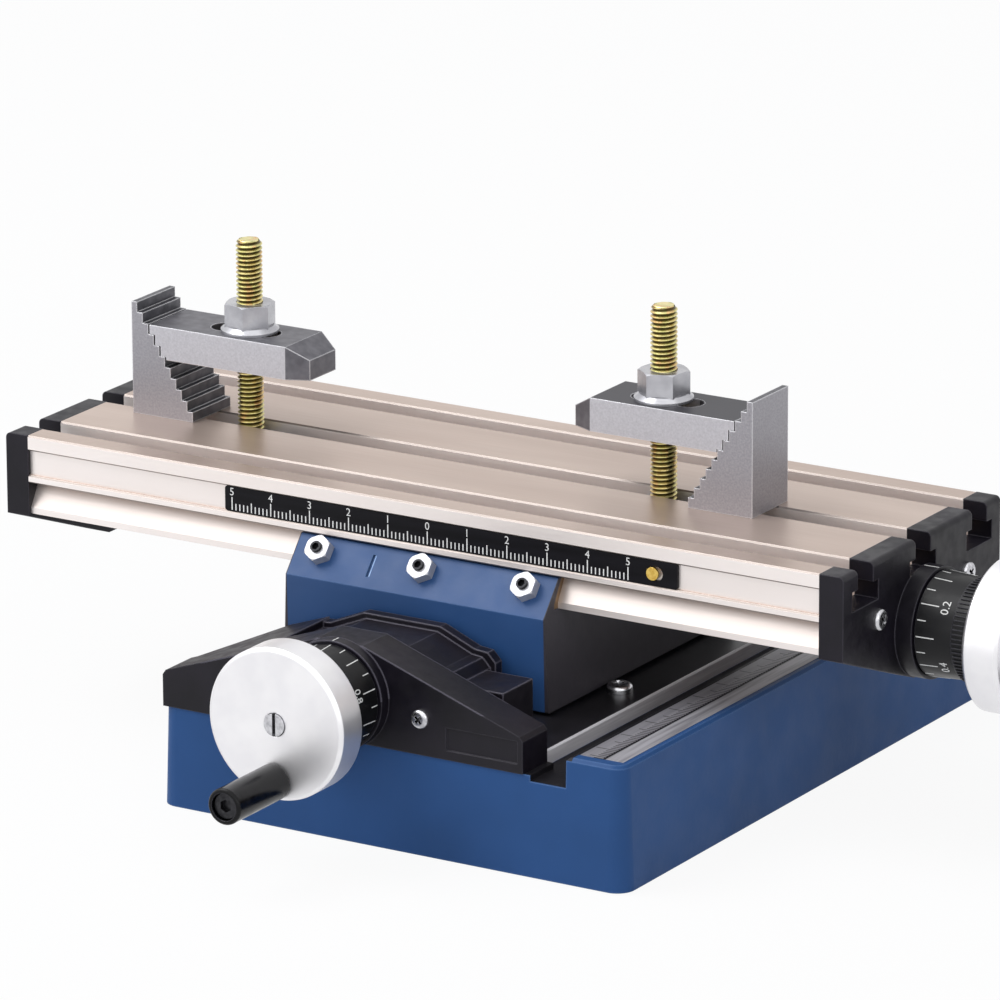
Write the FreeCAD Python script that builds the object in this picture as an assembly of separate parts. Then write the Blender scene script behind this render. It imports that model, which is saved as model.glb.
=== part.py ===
"""Cross slide table on its cast base. Millimetres, +Z up, +Y to the back, +X to the right.

Origin: bottom of the base, under the crossing of the two slides. A table with three T-slots
slides along X on a saddle, the saddle slides along Y on a way plate that is screwed to the base.
Two step-block clamps stand in the middle T-slot.
"""
import FreeCAD, Part
import math, os

os.makedirs("parts", exist_ok=True)

# Fits
RUN = 0.03          # radial clearance of a journal in its bush
SLIDE = 0.02        # clearance between two dovetail faces
LOOSE = 0.30        # clearance where nothing should touch

# Base and its raised right rim
BASE_OVER = 0.9     # the base stands out at the way plate's left edge
CHANNEL_W = 11.1    # the channel between the way plate and the rim
RIM_W = 13.7
LAND_OVER = 2.3
BASE_FRONT = -69.0
BASE_DEPTH = 157.0
DECK_Z = 21.0
LAND_Z = 22.3       # the strip of deck under the front cover
RIM_Z = 27.7
BASE_DRAFT = 0.9    # how much wider the casting is at its foot, each side
BASE_WALL = 5.0
WEB_HALF = 3.0      # the web under the middle stands on the bench too
CORNER_R = 3.2
STRIP_W = 5.3       # the rule let into the rim
STRIP_IN = 1.65
STRIP_END = 3.05
STRIP_DEEP = 0.6
FIT = 0.05          # clearance round a strip in its seat

# Way plate and its male dovetail
PLATE_LAND = 10.9   # the plate outside the saddle's foot, each side
PLATE_T = 3.4
PLATE_SCREW_RIGHT = 3.7   # screw centres outside the saddle's foot
PLATE_SCREW_LEFT = 6.7    # further out, clear of the lower gib's screws
PLATE_SCREW_Y = (-16.4, 60.0)
PLATE_SCREW_HEAD = 2.9
PLATE_SCREW_LEN = 11.0
PLATE_REAR = 78.0
DOVE_TAN = math.tan(math.radians(30.0))
WAY_H = 7.0
WAY_HALF = 23.0     # half width at the top of the dovetail
WAY_BEHIND_HOOD = 0.7

# Saddle
SADDLE_HALF_X = 32.6
SADDLE_LEDGE = 5.5   # the saddle's front outside the table's edge
SADDLE_GAP = 0.8    # side walls over the way plate
SADDLE_FOLD_Z = 46.1
SADDLE_TOP_Z = 53.7
FACET_LEAN = 6.3
SADDLE_DRAFT = 1.0

# Table extrusion
TABLE_LEN = 200.0
TABLE_MID_X = -3.6  # where the table stands over the saddle
TABLE_HALF_Y = 34.5
TABLE_TOP_Z = 65.1
TABLE_BOTTOM_Z = 47.0
TOP_LIP = 3.5
GROOVE_H = 5.6
GROOVE_DEEP = 0.9
LOW_LIP_Z = 54.2
LIP_RECESS = 4.2
FOOT_H = 1.4
SLOT_EDGE = 9.5      # centre of an outer slot inside the table's edge
CHAMBER_WALL = 1.9   # between a hollow chamber and a slot
CHAMBER_ROOF = 3.5
SLOT_W = 6.7
SLOT_LIP = 4.2
SLOT_UNDER_W = 11.4
SLOT_UNDER_H = 4.4

# End caps
CAP_T = 5.8
CAP_LOW_Z = 46.5
CAP_BELLY = 12.0    # how far the belly reaches below the screw axis
CAP_BOSS = 4.0
CAP_SCREW_Y = 19.4
CAP_SCREW_Z = 52.0
CAP_SCREW_LEN = 13.0

# Lead screws, handwheels and dials
PITCH = 1.0
SCREW_R = 4.0
JOURNAL_R = 3.0
BUSH_R = 5.0
X_AXIS_Z = 46.6
Y_AXIS_Z = 32.9
DIAL_R = 11.0
DIAL_BACK_R = 11.5
DIAL_LEN = 13.7
DIAL_RIB_LEN = 5.2
DIAL_WALL = 2.6
HUB_R = 6.0
WHEEL_R = 16.7
WHEEL_T = 8.5
CRANK_R = 12.4
GRIP_R = 4.0
GRIP_LEN = 19.8
PIN_R = 2.0
BOSS_R = 12.2

# Front cover
COVER_OVER = 0.7     # the cover outside the way plate, each side
COVER_FRONT = -69.5
COVER_T = 10.0
COVER_LOW_Z = LAND_Z
COVER_END_Z = 30.2
COVER_BOSS = 2.8
HOOD_GAP = 2.2       # from the hood to the saddle at its foremost reading
HOOD_RIDGE = 1.3
HOOD_TOP_Z = 41.0
HOOD_WALL = 2.0
SIDE_STEP_IN = 20.0  # the step right of the hood
SIDE_STEP_OUT = 33.6
SIDE_STEP_TOP = 35.0
SIDE_STEP_SHORT = 4.0
WING_REAR = 30.2     # the wing left of the hood narrows to here
COVER_SCREW_LEN = 9.4
COVER_SCREW_HEAD = 2.15

# Gibs and nuts
GIB_T = 2.0
NUT_HALF = 5.6
GIB_SCREW_PITCH = 26.0
GIB_SCREW_UP = 0.64  # share of the facet's slope, from the fold

# Clamps: M6 stud, strap, step block, flange nut
STUD_R = 2.95
STUD_TOP = 41.8     # above the table
LEFT_STUD_X = -67.3
RIGHT_STUD_X = 38.6
STRAP_NOSE = 19.0   # stud to tip
STRAP_HEEL = 21.1   # stud to heel
STRAP_W = 15.0
STRAP_T = 7.5
NOSE_BEVEL = 5.0
NOSE_FACE = 4.6
NOSE_CORNER = 2.3
TOOTH_PLAY = 0.3     # beside each tooth; the treads touch
NUT_NECK = 1.8       # how far the T-nut rises between the slot's lips
STRAP_LOW = 13.4    # underside above the table
BLOCK_L = 15.8
BLOCK_W = 15.2
BLOCK_H = 25.7
STEPS = 11
BLOCK_BACK = 26.3   # stud to the upright back of the block
FLANGE_R = 6.5
NUT_TURN = {-1: 47.0, 1: 20.0}

# Ruler
RULER_LEFT = -51.8
RULER_RIGHT = 62.1
RULER_T = 0.7
RULER_SCREW_IN = 5.9
RULER_HOLE_R = 1.6   # wide, so that the ruler can be set to zero

PLATE_HALF = SADDLE_HALF_X + SADDLE_DRAFT + PLATE_LAND
BASE_LEFT = -(PLATE_HALF + BASE_OVER)
RIM_LEFT = PLATE_HALF + CHANNEL_W
BASE_RIGHT = RIM_LEFT + RIM_W
LAND_RIGHT = PLATE_HALF + LAND_OVER
COVER_HALF = PLATE_HALF + COVER_OVER
PLATE_FRONT = COVER_FRONT + COVER_T
SADDLE_HALF_Y = TABLE_HALF_Y + SADDLE_LEDGE
HOOD_REAR = -(SADDLE_HALF_Y + HOOD_GAP)
WAY_FRONT = HOOD_REAR + WAY_BEHIND_HOOD
SLOT_PITCH = TABLE_HALF_Y - SLOT_EDGE
BASE_REAR = BASE_FRONT + BASE_DEPTH
PLATE_TOP = DECK_Z + PLATE_T
WAY_TOP = PLATE_TOP + WAY_H
SADDLE_LOW_Z = PLATE_TOP + SADDLE_GAP
TABLE_X0 = TABLE_MID_X - TABLE_LEN / 2
TABLE_X1 = TABLE_MID_X + TABLE_LEN / 2
CAP_X1 = TABLE_X1 + CAP_T
WAIST_HALF = TABLE_HALF_Y - LIP_RECESS
FLARE_H = LOW_LIP_Z - TABLE_BOTTOM_Z - FOOT_H
FOOT_HALF = WAIST_HALF + FLARE_H * DOVE_TAN
SLOT_FLOOR_Z = TABLE_TOP_Z - SLOT_LIP - SLOT_UNDER_H


def vec(x, y, z):
    return FreeCAD.Vector(x, y, z)


def box(x0, x1, y0, y1, z0, z1):
    return Part.makeBox(x1 - x0, y1 - y0, z1 - z0, vec(x0, y0, z0))


def cylinder(r, length, start, direction):
    return Part.makeCylinder(r, length, start, direction)


def cone(r0, r1, length, start, direction):
    return Part.makeCone(r0, r1, length, start, direction)


def prism(points, direction):
    """A solid from a closed outline of vectors, pushed along a vector."""
    wire = Part.makePolygon(points + [points[0]])
    return Part.Face(wire).extrude(direction)


def prism_x(outline, x0, x1):
    return prism([vec(x0, y, z) for y, z in outline], vec(x1 - x0, 0, 0))


def prism_y(outline, y0, y1):
    return prism([vec(x, y0, z) for x, z in outline], vec(0, y1 - y0, 0))


def mirrored(half):
    """Close an outline given for its right half only."""
    return half + [(-a, b) for a, b in reversed(half)]


def fused(shapes):
    out = shapes[0]
    for shape in shapes[1:]:
        out = out.fuse(shape)
    return out.removeSplitter()


def cut(shape, tools):
    for tool in tools:
        shape = shape.cut(tool)
    return shape


def edges_along(shape, direction, keep):
    """Straight edges along a direction whose midpoint passes the test."""
    found = []
    for edge in shape.Edges:
        if len(edge.Vertexes) != 2:
            continue
        a, b = edge.Vertexes[0].Point, edge.Vertexes[1].Point
        run = b.sub(a)
        if run.Length < 1e-6 or run.cross(direction).Length > 1e-3 * run.Length:
            continue
        if keep((a + b) * 0.5):
            found.append(edge)
    return found


def hexagon(across_flats, height, start, direction, turn=0.0):
    """A hexagonal prism whose axis starts at a point and follows a direction."""
    radius = across_flats / math.sqrt(3.0)
    corners = []
    for i in range(6):
        angle = math.radians(60 * i + turn)
        corners.append(vec(radius * math.cos(angle), radius * math.sin(angle), 0))
    shape = prism(corners, vec(0, 0, height))
    shape.Placement = FreeCAD.Placement(start, FreeCAD.Rotation(vec(0, 0, 1), direction))
    return shape


def pan_screw(head_r, head_h, shank_r, shank_len, seat, outward):
    """Pan-head screw: seat is the point under the head, outward points out of the work."""
    head = cylinder(head_r, head_h, seat, outward)
    rim = [e for e in head.Edges if (e.CenterOfMass - seat).dot(outward) > head_h - 0.01]
    head = head.makeFillet(head_h * 0.45, rim)
    shank = cylinder(shank_r, shank_len, seat - outward * shank_len, outward)
    return fused([head, shank])


# Base, way plate and front cover

def rounded_outline(x0, x1, y0, y1, z, r):
    pts = box(x0, x1, y0, y1, z, z + 1)
    solid = pts.makeFillet(r, edges_along(pts, vec(0, 0, 1), lambda p: True))
    bottom = min(solid.Faces, key=lambda f: f.CenterOfMass.z)
    return bottom.OuterWire


def base_casting():
    foot = rounded_outline(BASE_LEFT - BASE_DRAFT, BASE_RIGHT + BASE_DRAFT,
                           BASE_FRONT - BASE_DRAFT, BASE_REAR + BASE_DRAFT, 0, CORNER_R + BASE_DRAFT)
    top = rounded_outline(BASE_LEFT, BASE_RIGHT, BASE_FRONT, BASE_REAR, RIM_Z, CORNER_R)
    body = Part.makeLoft([foot, top], True)
    deck = box(BASE_LEFT - 5, RIM_LEFT, BASE_FRONT - 5, BASE_REAR + 5, DECK_Z, RIM_Z + 5)
    deck = deck.cut(box(BASE_LEFT - 6, LAND_RIGHT, BASE_FRONT - 6, PLATE_FRONT - FIT, DECK_Z - 1, LAND_Z))
    hollow = box(BASE_LEFT + BASE_WALL, BASE_RIGHT - BASE_WALL,
                 BASE_FRONT + BASE_WALL, BASE_REAR - BASE_WALL, -1, DECK_Z - BASE_WALL)
    hollow = hollow.makeFillet(3.0, edges_along(hollow, vec(0, 0, 1), lambda p: True))
    body = cut(body, [deck, hollow])
    ribs = [box(-WEB_HALF, WEB_HALF, BASE_FRONT + 3, BASE_REAR - 3, 0, DECK_Z - 2)]
    for x, y in way_screw_places():
        ribs.append(cylinder(PLATE_SCREW_HEAD, DECK_Z - 12, vec(x, y, 10), vec(0, 0, 1)))
    body = fused([body] + ribs)
    rim = edges_along(body, vec(0, 1, 0), lambda p: abs(p.z - RIM_Z) < 0.01)
    rim += edges_along(body, vec(1, 0, 0), lambda p: abs(p.z - RIM_Z) < 0.01)
    body = body.makeChamfer(0.7, rim)
    holes = [cylinder(1.7, 10, vec(x, y, DECK_Z - 9), vec(0, 0, 1)) for x, y in way_screw_places()]
    strip = box(RIM_LEFT + STRIP_IN - FIT, RIM_LEFT + STRIP_IN + STRIP_W + FIT, BASE_FRONT + STRIP_END - FIT,
                BASE_REAR - STRIP_END + FIT, RIM_Z - STRIP_DEEP, RIM_Z + 1)
    return cut(body, holes + [strip])


def rim_scale():
    strip = box(RIM_LEFT + STRIP_IN, RIM_LEFT + STRIP_IN + STRIP_W, BASE_FRONT + STRIP_END,
                BASE_REAR - STRIP_END, RIM_Z - STRIP_DEEP, RIM_Z + 0.1)
    return strip


def way_screw_places():
    foot = SADDLE_HALF_X + SADDLE_DRAFT
    return [(x, y) for x in (-foot - PLATE_SCREW_LEFT, foot + PLATE_SCREW_RIGHT) for y in PLATE_SCREW_Y]


def way_plate():
    plate = box(-PLATE_HALF, PLATE_HALF, PLATE_FRONT, PLATE_REAR, DECK_Z, PLATE_TOP)
    rims = edges_along(plate, vec(0, 1, 0), lambda p: p.z > PLATE_TOP - 0.1)
    plate = plate.makeChamfer(0.4, rims)
    waist = WAY_HALF - WAY_H * DOVE_TAN
    way = prism_y(mirrored([(waist, PLATE_TOP - 0.5), (waist, PLATE_TOP), (WAY_HALF, WAY_TOP)]),
                  WAY_FRONT, PLATE_REAR)
    trench = box(-7.5, 7.5, PLATE_FRONT - 1, PLATE_REAR - 6, Y_AXIS_Z - 6.3, WAY_TOP + 1)
    holes = [cylinder(1.7, 8, vec(x, y, DECK_Z - 1), vec(0, 0, 1)) for x, y in way_screw_places()]
    return cut(fused([plate, way]), [trench] + holes)


def way_plate_screws():
    up = vec(0, 0, 1)
    return Part.makeCompound([pan_screw(PLATE_SCREW_HEAD, 2.0, 1.6, PLATE_SCREW_LEN, vec(x, y, PLATE_TOP), up)
                              for x, y in way_screw_places()])


def cover_profile(shrink):
    """Arch of the hood, right half, from the plate up to the flat roof."""
    s = shrink
    return [(22.2 - s, PLATE_TOP), (22.2 - s, 35.0 - s * 0.6), (20.2 - s * 0.8, 37.1 - s),
            (17.6 - s * 0.6, 37.4 - s), (9.0 - s * 0.4, HOOD_TOP_Z - s)]


def front_cover():
    face_top = Y_AXIS_Z + BOSS_R - 1.0
    bar = prism_y(mirrored([(COVER_HALF, COVER_LOW_Z), (COVER_HALF, COVER_END_Z),
                            (5.6, face_top)]), COVER_FRONT, COVER_FRONT + COVER_T)
    bar = bar.makeChamfer(0.8, edges_along(bar, vec(0, 1, 0),
                                           lambda p: abs(abs(p.x) - COVER_HALF) < 0.1 and p.z > 25))
    hood = prism_y(mirrored(cover_profile(0.0)), COVER_FRONT + COVER_T - 1, HOOD_REAR)
    rim = prism_y(mirrored([(a + HOOD_RIDGE * (1.0 if i < 3 else 0.5), b + (0.0 if i == 0 else HOOD_RIDGE))
                            for i, (a, b) in enumerate(cover_profile(0.0))]),
                  HOOD_REAR - 2.6, HOOD_REAR)
    steps = [box(SIDE_STEP_IN, SIDE_STEP_OUT, HOOD_REAR - 16.0, HOOD_REAR - SIDE_STEP_SHORT, PLATE_TOP, SIDE_STEP_TOP)]
    wing = prism_y(mirrored([(COVER_HALF, PLATE_TOP), (COVER_HALF, COVER_END_Z), (5.6, face_top)]),
                   PLATE_FRONT - 1, HOOD_REAR)
    plan = prism([vec(-COVER_HALF + 2.4, PLATE_FRONT - 1, 0), vec(-SIDE_STEP_IN, PLATE_FRONT - 1, 0),
                  vec(-SIDE_STEP_IN, HOOD_REAR, 0), vec(-WING_REAR, HOOD_REAR, 0),
                  vec(-COVER_HALF + 2.4, PLATE_FRONT, 0)], vec(0, 0, 60))
    steps.append(wing.common(plan))
    boss = cylinder(BOSS_R, COVER_BOSS + 0.1, vec(0, COVER_FRONT + 0.1, Y_AXIS_Z), vec(0, -1, 0))
    body = fused([bar, hood, rim, boss] + steps)
    cavity = prism_y(mirrored(cover_profile(HOOD_WALL)), COVER_FRONT + COVER_T - 2.5, HOOD_REAR + 1)
    bore = cylinder(BUSH_R, 30, vec(0, COVER_FRONT - 8, Y_AXIS_Z), vec(0, 1, 0))
    side_cavities = []
    side_cavities.append(box(22.4, SIDE_STEP_OUT - HOOD_WALL, HOOD_REAR - 14.5, HOOD_REAR - SIDE_STEP_SHORT - HOOD_WALL,
                             PLATE_TOP - 1, SIDE_STEP_TOP - HOOD_WALL))
    panels = []
    for x, z in cover_screw_places():
        panels.append(cylinder(1.4, 14, vec(x, COVER_FRONT - 1, z), vec(0, 1, 0)))
    recess = box(COVER_HALF - 18.9, COVER_HALF - 1.3, COVER_FRONT - 1, COVER_FRONT + 0.35, 24.4, 29.4)
    return cut(body, [cavity, bore, recess] + side_cavities + panels)


def cover_screw_places():
    return [(-20.3, 30.5), (20.3, 30.5)]


def front_cover_screws():
    out = vec(0, -1, 0)
    return Part.makeCompound([pan_screw(COVER_SCREW_HEAD, 1.5, 1.3, COVER_SCREW_LEN, vec(x, COVER_FRONT, z), out)
                              for x, z in cover_screw_places()])


def bush(outer, inner, length, flange_r, flange_t, start, direction):
    """Flanged bush; the flange is the first stretch after start."""
    body = fused([cylinder(outer, length, start, direction),
                  cylinder(flange_r, flange_t, start, direction)])
    return body.cut(cylinder(inner, length + 2, start - direction, direction))


def y_bush():
    start = vec(0, COVER_FRONT + COVER_T - 2.5 + 1.5, Y_AXIS_Z)
    return bush(BUSH_R, JOURNAL_R + RUN, COVER_T - 1.0 + COVER_BOSS, 5.8, 1.5, start, vec(0, -1, 0))


# Saddle, gibs and nuts

def saddle_casting():
    lean = SADDLE_HALF_Y - FACET_LEAN
    outline = [(-SADDLE_HALF_Y + SADDLE_DRAFT * 0.6, SADDLE_LOW_Z), (-SADDLE_HALF_Y, SADDLE_FOLD_Z),
               (-lean, SADDLE_TOP_Z), (lean, SADDLE_TOP_Z), (SADDLE_HALF_Y, SADDLE_FOLD_Z),
               (SADDLE_HALF_Y - SADDLE_DRAFT * 0.6, SADDLE_LOW_Z)]
    body = prism_x(outline, -SADDLE_HALF_X - SADDLE_DRAFT, SADDLE_HALF_X + SADDLE_DRAFT)
    sides = []
    for side in (-1, 1):
        outer = side * (SADDLE_HALF_X + SADDLE_DRAFT + 3)
        sides.append(prism_y([(side * (SADDLE_HALF_X + SADDLE_DRAFT), SADDLE_LOW_Z - 0.1),
                              (outer, SADDLE_LOW_Z - 0.1), (outer, SADDLE_TOP_Z + 1),
                              (side * SADDLE_HALF_X, SADDLE_TOP_Z + 1),
                              (side * SADDLE_HALF_X, SADDLE_FOLD_Z)], -60, 60))
    body = cut(body, sides)
    tall = SADDLE_TOP_Z + 0.5
    ground = TABLE_BOTTOM_Z - SLIDE
    rise = tall - ground - FOOT_H
    front = -(FOOT_HALF + GIB_T + 2 * SLIDE)
    rear = FOOT_HALF + SLIDE
    channel = prism_x([(front, ground), (rear, ground), (rear, ground + FOOT_H),
                       (rear - rise * DOVE_TAN, tall), (front + rise * DOVE_TAN, tall),
                       (front, ground + FOOT_H)], -50, 50)
    way = WAY_TOP + SLIDE
    floor = SADDLE_LOW_Z - 0.5
    fall = (way - floor) * DOVE_TAN
    left = -(WAY_HALF + (GIB_T + 2 * SLIDE) / math.cos(math.radians(30)))
    right = WAY_HALF + SLIDE
    under = prism_y([(left, way), (right, way), (right - fall, floor), (left + fall, floor)], -60, 60)
    x_trench = box(-50, 50, -NUT_HALF - 0.6, NUT_HALF + 0.6, X_AXIS_Z - 5.4, ground + 1)
    y_trench = box(-NUT_HALF - 0.6, NUT_HALF + 0.6, -60, 60, way - 1, Y_AXIS_Z + 5.6)
    body = cut(body, [channel, under, x_trench, y_trench])
    tools = [x_gib_cutter(x, 1.25, 12.0) for x in gib_places()]
    tools += [y_gib_cutter(y, 1.25) for y in gib_places()]
    tools.append(cylinder(1.6, 20, vec(0, 0, X_AXIS_Z - 14), vec(0, 0, 1)))
    mark = facet_point(-12.9, 0.52)
    tools.append(facet_box(mark, 0.7, 5.2, 0.5))
    return cut(body, tools)


def gib_places():
    return [-GIB_SCREW_PITCH, 0.0, GIB_SCREW_PITCH]


def facet_normal():
    height = SADDLE_TOP_Z - SADDLE_FOLD_Z
    size = math.hypot(height, FACET_LEAN)
    return vec(0, -height / size, FACET_LEAN / size)


def facet_point(x, share):
    """Point on the slanted front facet; share runs from the fold (0) to the top edge (1)."""
    return vec(x, -SADDLE_HALF_Y + FACET_LEAN * share,
               SADDLE_FOLD_Z + (SADDLE_TOP_Z - SADDLE_FOLD_Z) * share)


def facet_box(centre, width, length, depth):
    """A groove in the facet that runs up and down its slope."""
    shape = box(-width / 2, width / 2, -length / 2, length / 2, -depth, depth)
    shape.Placement = FreeCAD.Placement(centre, FreeCAD.Rotation(vec(0, 0, 1), facet_normal()))
    return shape


def x_gib_cutter(x, r, length):
    seat = facet_point(x, GIB_SCREW_UP)
    return cylinder(r, length, seat + facet_normal() * 2, facet_normal() * -1)


def y_gib_cutter(y, r):
    return cylinder(r, 20.0, vec(-SADDLE_HALF_X - 6, y, PLATE_TOP + 4.0), vec(1, 0, 0))


def x_gib():
    ground = TABLE_BOTTOM_Z
    top = SADDLE_TOP_Z - 0.4
    foot = FOOT_HALF + SLIDE
    rise = (top - ground - FOOT_H) * DOVE_TAN
    outline = [(-foot, ground), (-foot, ground + FOOT_H), (-foot + rise, top),
               (-foot - GIB_T + rise, top), (-foot - GIB_T, ground + FOOT_H), (-foot - GIB_T, ground)]
    return prism_x(outline, -SADDLE_HALF_X + 0.3, SADDLE_HALF_X - 0.3)


def x_gib_screws():
    shapes = []
    for x in gib_places():
        seat = facet_point(x, GIB_SCREW_UP)
        out = facet_normal()
        foot_y = -(FOOT_HALF + SLIDE + GIB_T)
        flank = vec(x, foot_y, TABLE_BOTTOM_Z + FOOT_H)
        inward = vec(0, -math.cos(math.radians(30)), math.sin(math.radians(30)))
        reach = (seat - flank).dot(inward) / out.dot(inward)
        length = reach + 3.1
        shape = cylinder(1.25, length - 0.15, seat + out * (3.1), out * -1)
        socket = hexagon(1.5, 1.2, seat + out * (3.2 - 1.2), out)
        shapes.append(shape.cut(socket))
    return Part.makeCompound(shapes)


def x_gib_nuts():
    shapes = []
    for x in gib_places():
        seat = facet_point(x, GIB_SCREW_UP)
        out = facet_normal()
        body = hexagon(5.5, 2.4, seat, out, 30)
        body = body.common(cone(2.75 + 2.4 * 1.1, 2.75 + 0.1, 2.4, seat, out))
        shapes.append(body.cut(cylinder(1.27, 6, seat - out, out)))
    return Part.makeCompound(shapes)


def y_gib():
    way = WAY_TOP - 0.3
    floor = SADDLE_LOW_Z + 0.2
    left = -(WAY_HALF + SLIDE / math.cos(math.radians(30)))
    thick = GIB_T / math.cos(math.radians(30))
    def edge(z):
        return left + (WAY_TOP - z) * DOVE_TAN
    outline = [(edge(way), way), (edge(floor), floor), (edge(floor) - thick, floor),
               (edge(way) - thick, way)]
    return prism_y(outline, -SADDLE_HALF_Y + 1, SADDLE_HALF_Y - 1)


def y_gib_screws():
    """Set screws with their nuts on the left flank of the saddle."""
    shapes = []
    z = PLATE_TOP + 4.0
    wall = -(SADDLE_HALF_X + SADDLE_DRAFT * (SADDLE_FOLD_Z - z) / (SADDLE_FOLD_Z - SADDLE_LOW_Z))
    thick = GIB_T / math.cos(math.radians(30))
    flank = -(WAY_HALF) + (WAY_TOP - z) * DOVE_TAN - thick
    for y in gib_places():
        start = vec(wall - 3.2, y, z)
        tip = flank - 0.8
        screw = cylinder(1.25, tip - (wall - 3.2), start, vec(1, 0, 0))
        screw = screw.cut(hexagon(1.5, 1.2, start, vec(1, 0, 0)))
        shapes.append(screw)
    return Part.makeCompound(shapes)


def y_gib_nuts():
    shapes = []
    z = PLATE_TOP + 4.0
    wall = -(SADDLE_HALF_X + SADDLE_DRAFT * (SADDLE_FOLD_Z - z + 1.8) / (SADDLE_FOLD_Z - SADDLE_LOW_Z))
    for y in gib_places():
        body = hexagon(5.5, 2.3, vec(wall - 2.4, y, z), vec(1, 0, 0), 30)
        shapes.append(body.cut(cylinder(1.27, 6, vec(wall - 4, y, z), vec(1, 0, 0))))
    return Part.makeCompound(shapes)


def x_nut():
    z0 = X_AXIS_Z - 5.4
    body = box(-10, 10, -NUT_HALF, NUT_HALF, z0, X_AXIS_Z + 4.8)
    body = body.makeChamfer(0.8, edges_along(body, vec(1, 0, 0), lambda p: p.z > X_AXIS_Z))
    return cut(body, [cylinder(SCREW_R + RUN, 30, vec(-15, 0, X_AXIS_Z), vec(1, 0, 0))])


def y_nut():
    z1 = Y_AXIS_Z + 5.6
    body = box(-NUT_HALF, NUT_HALF, -30, -12, Y_AXIS_Z - 5.6, z1)
    return cut(body, [cylinder(SCREW_R + RUN, 30, vec(0, -35, Y_AXIS_Z), vec(0, 1, 0))])


# Table, end caps and ruler

def table_outline():
    half = [(FOOT_HALF, TABLE_BOTTOM_Z), (FOOT_HALF, TABLE_BOTTOM_Z + FOOT_H),
            (WAIST_HALF, LOW_LIP_Z), (TABLE_HALF_Y, LOW_LIP_Z),
            (TABLE_HALF_Y, TABLE_TOP_Z - TOP_LIP - GROOVE_H),
            (TABLE_HALF_Y - GROOVE_DEEP, TABLE_TOP_Z - TOP_LIP - GROOVE_H),
            (TABLE_HALF_Y - GROOVE_DEEP, TABLE_TOP_Z - TOP_LIP),
            (TABLE_HALF_Y, TABLE_TOP_Z - TOP_LIP), (TABLE_HALF_Y, TABLE_TOP_Z)]
    return mirrored(half)


def slot_outline(y, grow=0.0):
    """T-slot section, open at the top."""
    w, u = SLOT_W / 2 - grow, SLOT_UNDER_W / 2 - grow
    shoulder = TABLE_TOP_Z - SLOT_LIP
    return [(y - w, TABLE_TOP_Z + 1), (y - w, shoulder), (y - u, shoulder), (y - u, SLOT_FLOOR_Z),
            (y + u, SLOT_FLOOR_Z), (y + u, shoulder), (y + w, shoulder), (y + w, TABLE_TOP_Z + 1)]


def slot_centres():
    return [-SLOT_PITCH, 0.0, SLOT_PITCH]


def table_top():
    body = prism_x(table_outline(), TABLE_X0, TABLE_X1)
    tools = [prism_x(slot_outline(y), TABLE_X0 - 1, TABLE_X1 + 1) for y in slot_centres()]
    tools.append(box(TABLE_X0 - 1, TABLE_X1 + 1, -NUT_HALF - 1, NUT_HALF + 1, 40, X_AXIS_Z + 6.0))
    for side in (-1, 1):
        y0, y1 = sorted((side * (SLOT_UNDER_W / 2 + CHAMBER_WALL), side * (SLOT_PITCH - SLOT_UNDER_W / 2 - CHAMBER_WALL)))
        tools.append(box(TABLE_X0 - 1, TABLE_X1 + 1, y0, y1, LOW_LIP_Z + 0.4, TABLE_TOP_Z - CHAMBER_ROOF))
    for side in (-1, 1):
        for x, out in ((TABLE_X0, 1), (TABLE_X1, -1)):
            tools.append(cylinder(1.5, 9, vec(x, side * CAP_SCREW_Y, CAP_SCREW_Z), vec(out, 0, 0)))
    body = cut(body, tools)
    rims = edges_along(body, vec(1, 0, 0), lambda p: p.z > TABLE_TOP_Z - 0.1)
    rims += edges_along(body, vec(1, 0, 0), lambda p: abs(abs(p.y) - TABLE_HALF_Y) < 0.01)
    return body.makeChamfer(0.35, rims)


def cap_outline(belly):
    """Front view of a cap seen along X: square shoulders, belly tangent to the bearing boss."""
    low = X_AXIS_Z - belly
    return mirrored([(3.4, low), (TABLE_HALF_Y, CAP_LOW_Z), (TABLE_HALF_Y, TABLE_TOP_Z)])


def end_cap(x_inner, out, boss):
    x_outer = x_inner + out * CAP_T
    xs = sorted((x_inner, x_outer))
    body = prism_x(cap_outline(CAP_BELLY), xs[0], xs[1])
    outer = edges_along(body, vec(0, 1, 0), lambda p: abs(p.x - x_outer) < 0.01 and p.z > TABLE_TOP_Z - 0.1)
    body = body.makeFillet(1.2, outer)
    body = fused([body, cylinder(BOSS_R, boss + 1, vec(x_outer - out, 0, X_AXIS_Z), vec(out, 0, 0))])
    slot_ends = sorted((x_inner - out, x_outer))
    body = cut(body, [prism_x(slot_outline(y), slot_ends[0], slot_ends[1]) for y in slot_centres()])
    tools = [cylinder(BUSH_R, 40, vec(x_inner - 20 * out, 0, X_AXIS_Z), vec(out, 0, 0))]
    for side in (-1, 1):
        tools.append(cylinder(1.6, 20, vec(x_inner - 5 * out, side * CAP_SCREW_Y, CAP_SCREW_Z),
                              vec(out, 0, 0)))
    return cut(body, tools)


def left_end_cap():
    body = end_cap(TABLE_X0, -1, 1.6)
    plug = cylinder(BUSH_R, 1.6, vec(TABLE_X0 - CAP_T - 1.6, 0, X_AXIS_Z), vec(1, 0, 0))
    return fused([body, plug])


def right_end_cap():
    return end_cap(TABLE_X1, 1, CAP_BOSS)


def end_cap_screws():
    shapes = []
    for x, out in ((TABLE_X0 - CAP_T, -1), (CAP_X1, 1)):
        for side in (-1, 1):
            seat = vec(x, side * CAP_SCREW_Y, CAP_SCREW_Z)
            shapes.append(pan_screw(2.6, 1.6, 1.45, CAP_SCREW_LEN, seat, vec(out, 0, 0)))
    return Part.makeCompound(shapes)


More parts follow.
